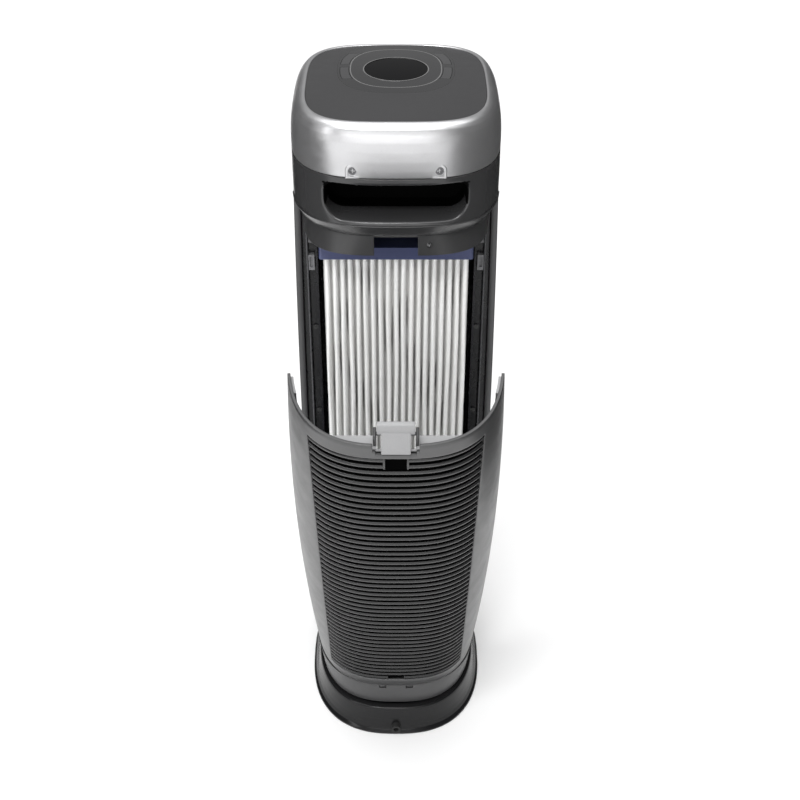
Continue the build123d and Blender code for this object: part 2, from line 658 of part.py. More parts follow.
def silver_trim():
    """Lacquered band with two screw bosses, and the ledge the top panel rests on."""
    above = block(-120, 120, -120, 120, HEAD_TOP, 730)
    outer = (oval_loft(trim_sections()) & above) + trim_boss(-SCREW_X) + trim_boss(SCREW_X)
    inner = oval_loft(trim_sections(WALL, WALL))
    opening = oval_slab(PANEL_HALF_WIDTH, PANEL_HALF_DEPTH, PANEL_POWER, 706.5, 730)
    throat = oval_slab(PANEL_HALF_WIDTH - 4, PANEL_HALF_DEPTH - 4, PANEL_POWER, 690, 730)
    shell = outer - inner - throat
    ledge = oval_slab(PANEL_HALF_WIDTH + 1, PANEL_HALF_DEPTH + 1, PANEL_POWER, 704, 706.5) - throat
    for x in (-SCREW_X, SCREW_X):
        shell = shell - rod_y(x, SCREW_Z, 80, 130, 1.6 + RUN) - rod_y(x, SCREW_Z, 92.6, 130, 3.7)
    return shell + ledge - opening


def trim_boss(x):
    half, face = 6.25, 94.2
    foot = block(x - half, x + half, 80, face, HEAD_TOP, SCREW_Z)
    return foot + rod_y(x, SCREW_Z, 80, face, half)


def trim_screws():
    return group([screw_facing_rear(x, 94.4, SCREW_Z, 3.5, 1.8, 1.6, 12.0) for x in (-SCREW_X, SCREW_X)])


# ---- control panel ------------------------------------------------------------------------------
DOME_RADIUS = 1000.0
PANEL_BOTTOM = 706.6
OVAL_HALF_X, OVAL_HALF_Y, OVAL_Y = 52.2, 59.0, -25.0
RING_HALF_X, RING_HALF_Y, RING_Y = 40.5, 46.8, -24.2
LENS_RADIUS, LENS_Y = 28.3, -19.5
FASCIA_THICKNESS = 1.6
KEY_STEM_BOTTOM = 703.6
SWITCH_TOP = KEY_STEM_BOTTOM - KEY_TRAVEL - 0.1
KEY_SPOTS = {"key_power": (1, -62.0, -33.0), "key_speed": (-1, -62.0, -33.0),
             "key_uv": (1, -26.0, 2.0), "key_timer": (-1, -26.0, 2.0)}


def dome(below):
    """Solid under the panel's domed surface, lowered by the given amount."""
    ball = Pos(0, 0, TOTAL_HEIGHT - below - DOME_RADIUS) * Sphere(DOME_RADIUS)
    return ball & block(-120, 120, -130, 130, 680, 730)


def dome_layer(outline, top_below, bottom_below):
    return (outline & dome(top_below)) - dome(bottom_below)


def control_oval(grow, z0=700.0, z1=730.0):
    return oval_slab(OVAL_HALF_X + grow, OVAL_HALF_Y + grow, 2.6, z0, z1, OVAL_Y)


def ring_oval(grow, z0=700.0, z1=730.0):
    return oval_slab(RING_HALF_X + grow, RING_HALF_Y + grow, 2.5, z0, z1, RING_Y)


def key_prism(side, y0, y1, shrink):
    """One key: a stretch of the band between the control oval and the fascia ring."""
    band = control_oval(-2.2 - shrink) - ring_oval(1.2 + shrink)
    x0, x1 = (30.0, 60.0) if side > 0 else (-60.0, -30.0)
    return band & block(x0, x1, y0 + shrink, y1 - shrink, 690, 730)


def key_holes():
    return [key_prism(side, y0, y1, 0.0) for side, y0, y1 in KEY_SPOTS.values()]


def top_panel():
    """Domed plate, sunk for the control fascia and pierced for the keys and the display."""
    plate = oval_slab(PANEL_HALF_WIDTH - 0.15, PANEL_HALF_DEPTH - 0.15, PANEL_POWER, PANEL_BOTTOM, 730)
    well = control_oval(FIT) - dome(FASCIA_THICKNESS)
    lens_well = rod_z(0, LENS_Y, 690, 730, LENS_RADIUS - 2)
    return (plate & dome(0.0)) - well - lens_well - key_holes()


def control_fascia():
    """Glossy oval film with a groove for its ring and holes for the keys and the lens."""
    layer = dome_layer(control_oval(0), 0.0, FASCIA_THICKNESS)
    groove = (ring_oval(0.45) - ring_oval(-0.45)) - dome(0.6)
    return layer - groove - rod_z(0, LENS_Y, 690, 730, LENS_RADIUS + 1.0) - key_holes()


def fascia_ring():
    return dome_layer(ring_oval(0.45) - ring_oval(-0.45), 0.0, 0.6)


def lens_bezel():
    tube = rod_z(0, LENS_Y, 700, 730, LENS_RADIUS + 1.0) - rod_z(0, LENS_Y, 700, 730, LENS_RADIUS)
    return dome_layer(tube, -0.2, FASCIA_THICKNESS)


def display_lens():
    return dome_layer(rod_z(0, LENS_Y, 700, 730, LENS_RADIUS), 0.2, FASCIA_THICKNESS)


def panel_key(name):
    side, y0, y1 = KEY_SPOTS[name]
    pad = (key_prism(side, y0, y1, KEY_GAP) & dome(0.0)) & block(-60, 60, -90, 30, PANEL_BOTTOM - 0.5, 730)
    stem = rod_z(side * 45.0, (y0 + y1) / 2, KEY_STEM_BOTTOM, PANEL_BOTTOM + 1, 2.0)
    return pad + stem


def control_board():
    """Board under the panel with a switch below every key and the display block below the lens."""
    board = block(-52, 52, -78, 24, 694.0, 695.6)
    display = rod_z(0, LENS_Y, 695.6, 704.5, 22.0)
    switches = [block(side * 45 - 3, side * 45 + 3, (y0 + y1) / 2 - 3, (y0 + y1) / 2 + 3, 695.6, SWITCH_TOP)
                for side, y0, y1 in KEY_SPOTS.values()]
    posts = [rod_z(sx * 48, y, 695.6, PANEL_BOTTOM, 2.4) for sx in (-1, 1) for y in (-74, 20)]
    return joined(board, display, *switches, *posts)


# ---- rear cover, in its closed place ------------------------------------------------------------
CUT_HALF_WIDTH, CUT_BOTTOM = 18.0, 569.6
CHEEK_INNER, CHEEK_OUTER = 15.3, 17.8
LATCH_PIN_Y, LATCH_PIN_Z = 85.0, 586.0
LATCH_HALF_WIDTH, FLANGE_HALF_WIDTH = 11.5, 14.75
LATCH_BOTTOM, LATCH_TOP = 552.0, 603.2
SHELF_Y = 80.0


def behind_split():
    return block(-130, 130, SPLIT_Y + SEAM, 150, 0, 720)


def cover_shell():
    """Rear cover wall with its louvre window, rim cut-out and hinge lugs."""
    outer = cover_solid(COVER_BOTTOM, COVER_TOP) & behind_split()
    inner = cover_solid(COVER_BOTTOM - 1, COVER_TOP + 1, WALL)
    window = block(-WINDOW_HALF_WIDTH, WINDOW_HALF_WIDTH, 50, 150, SLAT_BOTTOM - 2, SLAT_TOP + 6)
    cut = block(-CUT_HALF_WIDTH, CUT_HALF_WIDTH, 60, 150, CUT_BOTTOM, 620)
    shell = outer - inner - window - cut
    lug = rod_x(HINGE_Y, HINGE_Z, LUG_INNER, LUG_OUTER, LUG_RADIUS)
    strap = block(LUG_INNER, LUG_OUTER, HINGE_Y - LUG_RADIUS, HINGE_Y + 1.5, HINGE_Z, 78)
    hole = rod_x(HINGE_Y, HINGE_Z, 0, 60, PIN_RADIUS + RUN)
    for flip in (False, True):
        pieces = [mirrored(item) if flip else item for item in (lug, strap, hole)]
        shell = shell + pieces[0] + pieces[1] - pieces[2]
    return shell


def cover_louvres():
    """Curved slats across the cover's window."""
    slats = []
    rows = int((SLAT_TOP - SLAT_BOTTOM) / SLAT_PITCH)
    for k in range(rows + 1):
        z = SLAT_BOTTOM + k * SLAT_PITCH
        slats.append(curved_slat(WINDOW_HALF_WIDTH, 0.3, 2.2, cover_half_width(z), cover_half_depth(z),
                                 2.8, z, SLAT_HEIGHT, 1))
    return group(slats)


def carbon_prefilter():
    """Thin foam sheet that lies against the inside of the louvres."""
    z0, z1, half = SLAT_BOTTOM - 4, SLAT_TOP + 8, WINDOW_HALF_WIDTH + 2
    sheet = cover_solid(z0, z1, WALL + FIT) - cover_solid(z0 - 1, z1 + 1, WALL + FIT + 1.6)
    return sheet & block(-half, half, SPLIT_Y + 10, 150, z0, z1)


def cover_liner():
    """Light inner moulding: a D-shaped shelf under the rim, and a wing and flange inside each tip."""
    inside = cover_solid(COVER_BOTTOM, COVER_TOP, WALL + 0.05)
    shelf = inside & block(-80, 80, SHELF_Y, 110, 571.0, 574.0)
    shelf = shelf - block(-CHEEK_INNER, CHEEK_INNER, 60, 92, 560, 600)
    core = cover_solid(470, COVER_TOP, WALL + 2.2)
    tall = (inside - core) & block(60, 100, SPLIT_Y + SEAM, 44, 480, 578)
    flange = inside & block(80.5, 100, SPLIT_Y + 3, SPLIT_Y + 5, 440, 562)
    wing = tall + flange
    return group([shelf, wing, mirrored(wing)])


def latch_bracket():
    """Two cheeks that stand on the shelf and carry the latch pin."""
    cheek = block(CHEEK_INNER, CHEEK_OUTER, SHELF_Y + 1, 89.5, 574.0, 589.5)
    hole = rod_x(LATCH_PIN_Y, LATCH_PIN_Z, -30, 30, PIN_RADIUS)
    return group([(cheek - hole), mirrored(cheek - hole)])


def latch_pin():
    return rod_x(LATCH_PIN_Y, LATCH_PIN_Z, -CHEEK_OUTER, CHEEK_OUTER, PIN_RADIUS)


def latch():
    """T-shaped plate: a wide flange above, a narrower tongue below, and a barrel round the pin."""
    y0, y1 = LATCH_PIN_Y - 1.2, LATCH_PIN_Y + 1.6
    tongue = block(-LATCH_HALF_WIDTH, LATCH_HALF_WIDTH, y0, y1, LATCH_BOTTOM, LATCH_PIN_Z + 3)
    flange = block(-FLANGE_HALF_WIDTH, FLANGE_HALF_WIDTH, y0, y1, LATCH_PIN_Z + 3, LATCH_TOP)
    barrel = rod_x(LATCH_PIN_Y, LATCH_PIN_Z, -LATCH_HALF_WIDTH, LATCH_HALF_WIDTH, 3.0)
    return tongue + flange + barrel - rod_x(LATCH_PIN_Y, LATCH_PIN_Z, -30, 30, PIN_RADIUS + RUN)


def opened(shape):
    """Swing a piece of the cover from its closed place out to the open stop."""
    return Pos(0, HINGE_Y, HINGE_Z) * Rot(-COVER_OPEN, 0, 0) * Pos(0, -HINGE_Y, -HINGE_Z) * shape


# ---- every node ---------------------------------------------------------------------------------
def build_nodes():
    nodes = {
        "base_plinth": base_plinth(),
        "base_bottom_plate": base_bottom_plate(),
        "base_feet": base_feet(),
        "base_screws": base_screws(),
        "ballast_plate": ballast_plate(),
        "cord_inlet": cord_inlet(),
        "neck_collar": neck_collar(),
        "lower_ring": lower_ring(),
        "hinge_pins": hinge_pins(),
        "front_shell": front_shell(),
        "outlet_grille": outlet_grille(),
        "outlet_duct": outlet_duct(),
        "rear_frame": rear_frame(),
        "side_rails": side_rails(),
        "filter_cradle": filter_cradle(),
        "side_catches": side_catches(),
        "channel_screws": channel_screws(),
        "filter_pleats": filter_pleats(),
        "filter_end_caps": filter_end_caps(),
        "scroll_rear": scroll_rear(),
        "scroll_front": scroll_front(),
        "scroll_screws": scroll_screws(),
        "inlet_ring": inlet_ring(),
        "impeller": impeller(),
        "motor_shaft": motor_shaft(),
        "hub_nut": hub_nut(),
        "motor": motor(),
        "motor_mounts": motor_mounts(),
        "motor_screws": motor_screws(),
        "uv_lamp": uv_lamp(),
        "uv_sockets": uv_sockets(),
        "uv_reflector": uv_reflector(),
        "power_board": power_board(),
        "head_shell": head_shell(),
        "handle_pocket": handle_pocket(),
        "head_floor": head_floor(),
        "skirt": skirt(),
        "skirt_screw": skirt_screw(),
        "silver_trim": silver_trim(),
        "trim_screws": trim_screws(),
        "top_panel": top_panel(),
        "control_fascia": control_fascia(),
        "fascia_ring": fascia_ring(),
        "lens_bezel": lens_bezel(),
        "display_lens": display_lens(),
        "control_board": control_board(),
    }
    for name in KEY_SPOTS:
        nodes[name] = panel_key(name)
    cover = {"cover_shell": cover_shell(), "cover_louvres": cover_louvres(), "cover_liner": cover_liner(),
             "carbon_prefilter": carbon_prefilter(), "latch_bracket": latch_bracket(),
             "latch_pin": latch_pin(), "latch": latch()}
    nodes.update({name: opened(shape) for name, shape in cover.items()})
    return nodes


if __name__ == "__main__":
    os.makedirs("parts", exist_ok=True)
    for node, shape in build_nodes().items():
        export_step(shape, f"parts/{node}.step")
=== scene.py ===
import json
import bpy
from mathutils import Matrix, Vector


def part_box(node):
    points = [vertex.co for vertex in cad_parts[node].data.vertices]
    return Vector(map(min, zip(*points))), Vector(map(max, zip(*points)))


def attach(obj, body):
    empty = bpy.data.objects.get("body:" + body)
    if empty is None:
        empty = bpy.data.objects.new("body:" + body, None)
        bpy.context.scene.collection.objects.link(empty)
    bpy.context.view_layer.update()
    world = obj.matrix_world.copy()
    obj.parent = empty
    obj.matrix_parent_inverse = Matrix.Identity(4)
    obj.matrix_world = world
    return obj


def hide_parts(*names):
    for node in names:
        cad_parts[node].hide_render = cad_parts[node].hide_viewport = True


bl_info = {
    "name": "Tower Air Purifier",
    "version": (1, 0, 0),
    "blender": (4, 5, 0),
    "location": "3D Viewport > Sidebar > Purifier",
    "description": "Builds the shells, filter, cover and finishes of a tower air purifier",
    "category": "Object",
}

from math import radians

import bmesh
import bpy
import numpy as np
from bpy.props import FloatProperty, FloatVectorProperty, IntProperty, PointerProperty
from mathutils import Vector

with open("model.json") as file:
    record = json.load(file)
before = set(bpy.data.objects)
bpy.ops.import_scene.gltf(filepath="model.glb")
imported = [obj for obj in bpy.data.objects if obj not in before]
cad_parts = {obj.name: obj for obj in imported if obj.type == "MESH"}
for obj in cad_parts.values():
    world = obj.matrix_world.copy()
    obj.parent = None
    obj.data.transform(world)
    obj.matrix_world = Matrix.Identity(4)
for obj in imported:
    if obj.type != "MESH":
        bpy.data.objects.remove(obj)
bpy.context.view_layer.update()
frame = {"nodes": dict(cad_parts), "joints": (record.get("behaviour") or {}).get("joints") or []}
MM = 0.001


def low(node):
    return np.array(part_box(node)[0])


def high(node):
    return np.array(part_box(node)[1])


def hand(side):
    return "L" if side < 0 else "R"


def joint(name):
    return next(item for item in frame["joints"] if item["name"] == name)


# ---- settings -----------------------------------------------------------------------------------
def length_setting(name, description, default):
    return FloatProperty(name=name, description=description, default=default, unit="LENGTH")


class PurifierShape(bpy.types.PropertyGroup):
    ring_steps: IntProperty(name="Steps round", description="Columns round each shell", default=256)
    wall: length_setting("Wall", "Thickness of the moulded shells", 0.0024)
    slat_pitch: length_setting("Slat pitch", "Height from one louvre to the next", 0.00985)
    slat_height: length_setting("Slat height", "Height of one louvre", 0.0043)
    pleats: IntProperty(name="Pleats", description="Folds across the filter", default=19)
    pleat_depth: length_setting("Pleat depth", "Depth of a fold that can be seen", 0.0120)
    lip: length_setting("Handle lip", "Rounding round the handle opening", 0.0030)


def colour_setting(name, description, default):
    return FloatVectorProperty(name=name, description=description, size=3, subtype="COLOR", default=default)


class PurifierFinish(bpy.types.PropertyGroup):
    cover: colour_setting("Cover grey", "Rear cover and louvres", (0.048, 0.048, 0.049))
    head: colour_setting("Head grey", "Head and handle recess", (0.034, 0.034, 0.035))
    body: colour_setting("Body grey", "Front shell", (0.060, 0.060, 0.062))
    base: colour_setting("Base black", "Foot of the tower", (0.009, 0.009, 0.0095))
    silver: colour_setting("Silver", "Lacquer of the trim band", (0.56, 0.56, 0.57))
    media: colour_setting("Filter media", "Pleated paper of the filter", (0.93, 0.93, 0.92))
    light: colour_setting("Light grey", "Liner and latch", (0.30, 0.30, 0.305))


def shape():
    return bpy.context.scene.purifier_shape


def finish():
    return bpy.context.scene.purifier_finish


# ---- shader groups ------------------------------------------------------------------------------
def node_group(name, sockets_in):
    """Empty shader group with its inputs, and outputs for a colour, a roughness and a height."""
    group = bpy.data.node_groups.new(name, "ShaderNodeTree")
    for label, value in sockets_in:
        kind = "NodeSocketColor" if isinstance(value, tuple) else "NodeSocketFloat"
        group.interface.new_socket(label, in_out="INPUT", socket_type=kind).default_value = value
    for label, kind in (("Colour", "Color"), ("Roughness", "Float"), ("Height", "Float")):
        group.interface.new_socket(label, in_out="OUTPUT", socket_type="NodeSocket" + kind)
    place = group.nodes.new("ShaderNodeTexCoord").outputs["Object"]
    return group, group.nodes.new("NodeGroupInput").outputs, group.nodes.new("NodeGroupOutput").inputs, place


def link(tree, source, target):
    """Link a socket to the target, or set the target to a plain value."""
    if isinstance(source, bpy.types.NodeSocket):
        tree.links.new(source, target)
    else:
        target.default_value = source


def node(tree, kind, output, inputs, **settings):
    """Output of a new node, whose inputs are linked or set to plain values."""
    item = tree.nodes.new("ShaderNode" + kind)
    for label, value in settings.items():
        setattr(item, label, value)
    for label, value in inputs.items():
        link(tree, value, item.inputs[label])
    return item.outputs[output]


def noise(tree, vector, scale, detail=3.0, rough=0.55):
    return node(tree, "TexNoise", "Fac",
                {"Vector": vector, "Scale": scale, "Detail": detail, "Roughness": rough})


def remap(tree, value, from_min, from_max, to_min, to_max):
    return node(tree, "MapRange", "Result", {"Value": value, "From Min": from_min, "From Max": from_max,
                                             "To Min": to_min, "To Max": to_max})


def math(tree, operation, first, second):
    return node(tree, "Math", 0, {0: first, 1: second}, operation=operation)


def mix_colour(tree, factor, first, second):
    return node(tree, "Mix", "Result", {"Factor": factor, "A": first, "B": second}, data_type="RGBA")


def scaled(tree, colour, factor):
    return node(tree, "VectorMath", 0, {0: colour, "Scale": factor}, operation="SCALE")


def near_one(tree, value, amount):
    """Spread a noise value evenly about one, by the amount on either side."""
    return remap(tree, value, 0.3, 0.7, math(tree, "SUBTRACT", 1.0, amount), math(tree, "ADD", 1.0, amount))


def drawn_out(tree, vector, upright):
    """Coordinates squeezed upright, so that a pattern on them runs along the folds."""
    return node(tree, "Mapping", 0, {"Scale": (1.0, 1.0, upright), "Vector": vector})


def moulded_group(name):
    """Moulded plastic: slow shade drift, fine spark-eroded grain, faint rubbed and dusty patches."""
    group, given, result, place = node_group(name, [
        ("Colour", (0.1, 0.1, 0.1, 1)), ("Roughness", 0.4), ("Grain Scale", 1400.0), ("Drift", 0.12),
        ("Rub", 0.08), ("Speck", 0.05)])
    slow = noise(group, place, 9.0, 2.0)
    fine = noise(group, place, given["Grain Scale"], 2.0)
    patch = noise(group, place, 42.0, 5.0, 0.65)
    shade = near_one(group, slow, given["Drift"])
    speck = near_one(group, fine, given["Speck"])
    link(group, scaled(group, given["Colour"], math(group, "MULTIPLY", shade, speck)), result["Colour"])
    rubbed = remap(group, patch, 0.35, 0.75, math(group, "MULTIPLY", given["Rub"], -1.0), given["Rub"])
    link(group, math(group, "ADD", given["Roughness"], rubbed), result["Roughness"])
    link(group, fine, result["Height"])
    return group


def fibre_group(name):
    """Filter media: felted fibres drawn out along the folds, with faint yellowing and grey dust."""
    group, given, result, place = node_group(name, [("Colour", (0.8, 0.8, 0.8, 1)), ("Soil", 0.12)])
    fibres = noise(group, drawn_out(group, place, 0.3), 1500.0, 5.0, 0.7)
    soil = noise(group, place, 30.0, 4.0, 0.6)
    runs = noise(group, drawn_out(group, place, 0.06), 160.0, 3.0, 0.6)
    dirt = math(group, "MULTIPLY", remap(group, soil, 0.45, 0.8, 0.0, 1.0), given["Soil"])
    base = mix_colour(group, dirt, given["Colour"], (0.50, 0.48, 0.42, 1))
    lined = scaled(group, base, remap(group, runs, 0.55, 0.75, 1.0, 0.86))
    flecks = remap(group, fibres, 0.5, 0.75, 0.0, 0.25)
    link(group, mix_colour(group, flecks, lined, scaled(group, lined, 0.7)), result["Colour"])
    link(group, remap(group, fibres, 0.2, 0.8, 0.8, 0.98), result["Roughness"])
    link(group, fibres, result["Height"])
    return group


def lacquer_group(name):
    """Silver lacquer: aluminium flakes in clear binder, slow mottling and fine scuffs."""
    group, given, result, place = node_group(name, [("Colour", (0.6, 0.6, 0.6, 1)), ("Roughness", 0.34)])
    flake = node(group, "TexVoronoi", "Distance", {"Scale": 2600.0, "Vector": place})
    mottle = noise(group, place, 14.0, 3.0)
    scuff = noise(group, place, 95.0, 6.0, 0.7)
    bright = math(group, "MULTIPLY", remap(group, flake, 0.0, 0.9, 1.07, 0.93),
                  remap(group, mottle, 0.3, 0.7, 0.96, 1.04))
    link(group, scaled(group, given["Colour"], bright), result["Colour"])
    scuffed = remap(group, scuff, 0.4, 0.8, -0.04, 0.08)
    link(group, math(group, "ADD", given["Roughness"], scuffed), result["Roughness"])
    link(group, flake, result["Height"])
    return group


EFFECTS = {"moulded": ("Moulded Surface", moulded_group), "fibre": ("Fibre Felt", fibre_group),
           "lacquer": ("Flake Lacquer", lacquer_group)}


def surface(name, builder, inputs, bump=0.1, depth=0.00004, **constants):
    """A Principled material fed by one shader group, with constants set on its own sockets."""
    if name in bpy.data.materials:
        return bpy.data.materials[name]
    label, maker = EFFECTS[builder]
    group = bpy.data.node_groups.get(label) or maker(label)
    material = bpy.data.materials.new(name)
    material.use_nodes = True
    tree = material.node_tree
    shader = tree.nodes["Principled BSDF"]
    effect = tree.nodes.new("ShaderNodeGroup")
    effect.node_tree = group
    for socket, value in inputs.items():
        link(tree, value, effect.inputs[socket])
    relief = node(tree, "Bump", "Normal",
                  {"Strength": bump, "Distance": depth, "Height": effect.outputs["Height"]})
    sockets = {"Base_Color": effect.outputs["Colour"], "Roughness": effect.outputs["Roughness"],
               "Normal": relief, **constants}
    for socket, value in sockets.items():
        link(tree, value, shader.inputs[socket.replace("_", " ")])
    return material


def plastic(name, colour, roughness=0.38, grain=1400.0, drift=0.08, bump=0.18, rub=0.05, speck=0.05,
            **constants):
    inputs = {"Colour": (*colour, 1.0), "Roughness": roughness, "Grain Scale": grain, "Drift": drift,
              "Rub": rub, "Speck": speck}
    return surface(name, "moulded", inputs, bump, **constants)


def metal(name, colour, roughness=0.3):
    return plastic(name, colour, roughness, 2200.0, 0.04, 0.08, Metallic=1.0)


# ---- meshes -------------------------------------------------------------------------------------
def placed(name, data):
    item = bpy.data.objects.new(name, data)
    bpy.context.scene.collection.objects.link(item)
    return item


def add_piece(name, points, faces, material, body, thickness=0.0, bevel=0.0, replaces=()):
    """Weld the points, point the faces outwards, and hand the piece to its body."""
    mesh = bpy.data.meshes.new(name)
    mesh.from_pydata(points.reshape(-1, 3).tolist(), [], faces if isinstance(faces, list) else faces.tolist())
    work = bmesh.new()
    work.from_mesh(mesh)
    bmesh.ops.remove_doubles(work, verts=work.verts, dist=2e-6)
    bmesh.ops.dissolve_degenerate(work, edges=work.edges, dist=1e-6)
    bmesh.ops.recalc_face_normals(work, faces=work.faces)
    work.to_mesh(mesh)
    work.free()
    mesh.polygons.foreach_set("use_smooth", np.ones(len(mesh.polygons), bool))
    mesh.materials.append(material)
    piece = placed(name, mesh)
    if thickness:
        wall = piece.modifiers.new("Wall", "SOLIDIFY")
        wall.thickness = thickness
        wall.offset = -1.0
        wall.use_even_offset = True
    if bevel:
        edge = piece.modifiers.new("Edge", "BEVEL")
        edge.width = bevel
        edge.segments = 2
        edge.limit_method = "ANGLE"
        edge.angle_limit = radians(50)
    mesh.set_sharp_from_angle(angle=radians(48))
    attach(piece, body)
    if replaces:
        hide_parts(*replaces)
    return piece


def quads(grid, wrap_rows=False, wrap_columns=False, keep=None):
    """Faces of a grid of points stored row by row; keep is an optional mask of cells."""
    rows, columns = grid.shape[:2]
    r = np.arange(rows if wrap_rows else rows - 1)
    c = np.arange(columns if wrap_columns else columns - 1)
    r, c = np.meshgrid(r, c, indexing="ij")
    if keep is not None:
        r, c = r[keep], c[keep]
    down, along = (r + 1) % rows, (c + 1) % columns
    cells = [r * columns + c, r * columns + along, down * columns + along, down * columns + c]
    return np.stack([cell.ravel() for cell in cells], axis=1)


def oval_radius(a, b, power, angle):
    """Distance from the centre to a superellipse in the direction of an angle."""
    return (np.abs(np.cos(angle) / a) ** power + np.abs(np.sin(angle) / b) ** power) ** (-1 / power)


def polar(reach, angle):
    return np.stack([reach * np.cos(angle), reach * np.sin(angle)], axis=-1)


def oval_points(a, b, power, angle):
    """Points of superellipses, one row for each outline, in the directions of the angles."""
    a, b, power = [np.broadcast_to(item, a.shape)[:, None] for item in (a, b, power)]
    return polar(oval_radius(a, b, power, angle), angle)


def raised(flat, heights):
    """Grid of points in metres: each row of flat points in millimetres is put at its height."""
    tall = np.broadcast_to(heights[:, None, None], (*flat.shape[:2], 1))
    return np.concatenate([flat, tall], axis=2) * MM


def crosswise(flat, x):
    """Sections of (depth, height) points carried across at each x, millimetres in, metres out."""
    return raised(flat, x)[..., [2, 0, 1]]


def full_turn(steps):
    return np.linspace(0, 2 * np.pi, steps, endpoint=False)


def between(value, least, most):
    return (value > least) & (value < most)


def cell_centres(z, points):
    """Heights of the cell rows and x of the cell columns of a grid, in millimetres."""
    return (z[1:] + z[:-1])[:, None] / 2, (points[:1, 1:, 0] + points[:1, :-1, 0]) / 2 / MM


def softened(path, radius, steps=4):
    """Round each inner corner of an open path with a quadratic curve that starts radius before it."""
    path = np.asarray(path, float)
    corner = path[1:-1]
    start, end = [corner + side * np.minimum(radius / np.linalg.norm(side[:, :2], axis=1), 0.45)[:, None]
                  for side in (path[:-2] - corner, path[2:] - corner)]
    t = np.linspace(0, 1, steps)[None, :, None]
    bends = (1 - t) ** 2 * start[:, None] + 2 * t * (1 - t) * corner[:, None] + t ** 2 * end[:, None]
    return np.concatenate([path[:1], bends.reshape(-1, path.shape[1]), path[-1:]])


def closed_ring(name, path, radius, material, body, replaces=()):
    """Ring whose section is a closed path of (half width, height, half depth, power) in millimetres."""
    path = np.asarray(path, float)
    a, z, b, power = softened(np.concatenate([path[-1:], path, path[:1]]), radius)[1:-1].T
    points = raised(oval_points(a, b, power, full_turn(shape().ring_steps)), z)
    faces = quads(points, wrap_rows=True, wrap_columns=True)
    return add_piece(name, points, faces, material, body, replaces=replaces)


def tube(name, sections, material, body, replaces=()):
    """Closed solid through rows of section points, with a fan of faces over each end."""
    rows, columns = sections.shape[:2]
    ends = sections[[0, -1]].mean(axis=1)
    points = np.concatenate([sections.reshape(-1, 3), ends])
    faces = quads(sections, wrap_columns=True).tolist()
    fan = np.arange(columns)
    for k, first in enumerate((0, (rows - 1) * columns)):
        middle = np.full(columns, rows * columns + k)
        faces += np.stack([first + fan, first + (fan + 1) % columns, middle], axis=1).tolist()
    return add_piece(name, points, faces, material, body, replaces=replaces)


def rounded_box(x0, x1, y0, y1, z0, z1, radius):
    """Sections of a box with rounded upright corners and softened ends, millimetres in, metres out."""
    turn = np.linspace(0, np.pi / 2, 5)
    half = np.array([(x1 - x0) / 2, (y1 - y0) / 2])
    corners = []
    for k, (sx, sy) in enumerate(((1, 1), (-1, 1), (-1, -1), (1, -1))):
        angle = turn + k * np.pi / 2
        corners.append(polar(radius, angle) + (half - radius) * (sx, sy))
    outline = np.concatenate(corners)
    soft = min(radius, 0.4 * (z1 - z0))
    insets = np.array([soft, 0.3 * soft, 0, 0, 0.3 * soft, soft])
    levels = np.array([z0, z0 + 0.3 * soft, z0 + soft, z1 - soft, z1 - 0.3 * soft, z1])
    scale = 1 - insets[:, None] / half[None, :]
    flat = outline[None] * scale[:, None, :] + np.array([(x0 + x1) / 2, (y0 + y1) / 2])
    return raised(flat, levels)


# ---- outlines of the body, in millimetres -------------------------------------------------------
SHELL_LOW, SHELL_HIGH = low("front_shell")[2] / MM, high("front_shell")[2] / MM
HEAD_LOW, HEAD_HIGH = 619.0, high("head_shell")[2] / MM
SHELL_EDGE_Y = high("front_shell")[1] / MM
HALF_WIDTH = high("front_shell")[0] / MM
TRIM_LOW, TRIM_HIGH = low("silver_trim")[2] / MM, high("silver_trim")[2] / MM
SKIRT_LOW, SKIRT_HIGH = low("skirt")[2] / MM, high("skirt")[2] / MM


FOOT_DEPTH = 106.3                        # half depth of the body and the cover at their lower ends


def body_outline(z):
    """Barrel of the body: half width swells to its waist, half depth shrinks evenly upwards."""
    waist = 360.0
    down, up = waist - SHELL_LOW + 0.5, HEAD_LOW - waist
    swell = np.where(z < waist, 7.0 * ((z - waist) / down) ** 2, 2.5 * ((z - waist) / up) ** 2)
    depth = FOOT_DEPTH - 11.1 * (z - SHELL_LOW) / (HEAD_LOW - SHELL_LOW)
    return HALF_WIDTH - swell, depth, 2.6 + 0.4 * z / HEAD_HIGH


COVER_LOW, COVER_HIGH = 64.6, 583.0
HINGE = np.array(joint("cover_tilt")["pos_m"])
OPEN = radians(joint("cover_tilt")["range_deg"][1])


def cover_outline(z):
    """Rear cover: half width falls with the square of the distance from its waist."""
    part = (z - COVER_LOW) / (COVER_HIGH - COVER_LOW)
    return 95.4 - 1.13e-4 * (z - 310.0) ** 2, FOOT_DEPTH - 11.3 * part, 2.8


def opened(points):
    """Swing points of the closed cover out to its open stop, about the hinge line along X."""
    y, z = points[..., 1] - HINGE[1], points[..., 2] - HINGE[2]
    return np.stack([points[..., 0], HINGE[1] + y * np.cos(OPEN) + z * np.sin(OPEN),
                     HINGE[2] + z * np.cos(OPEN) - y * np.sin(OPEN)], axis=-1)


def wall_y(x, a, b, power):
    return b * (1 - (np.abs(x) / a) ** power) ** (1 / power)


def side_columns(a, b, power, x_edge, y_edge, steps):
    """Angles from the straight-lined rear part of a shell round to its side edge, for each row."""
    start = np.arctan2(wall_y(x_edge, a, b, power), x_edge)
    x_side = a * (1 - (y_edge / b) ** power) ** (1 / power)
    stop = np.arctan2(y_edge, x_side)
    return start[:, None] + (stop - start)[:, None] * np.linspace(0, 1, steps)[None, 1:]


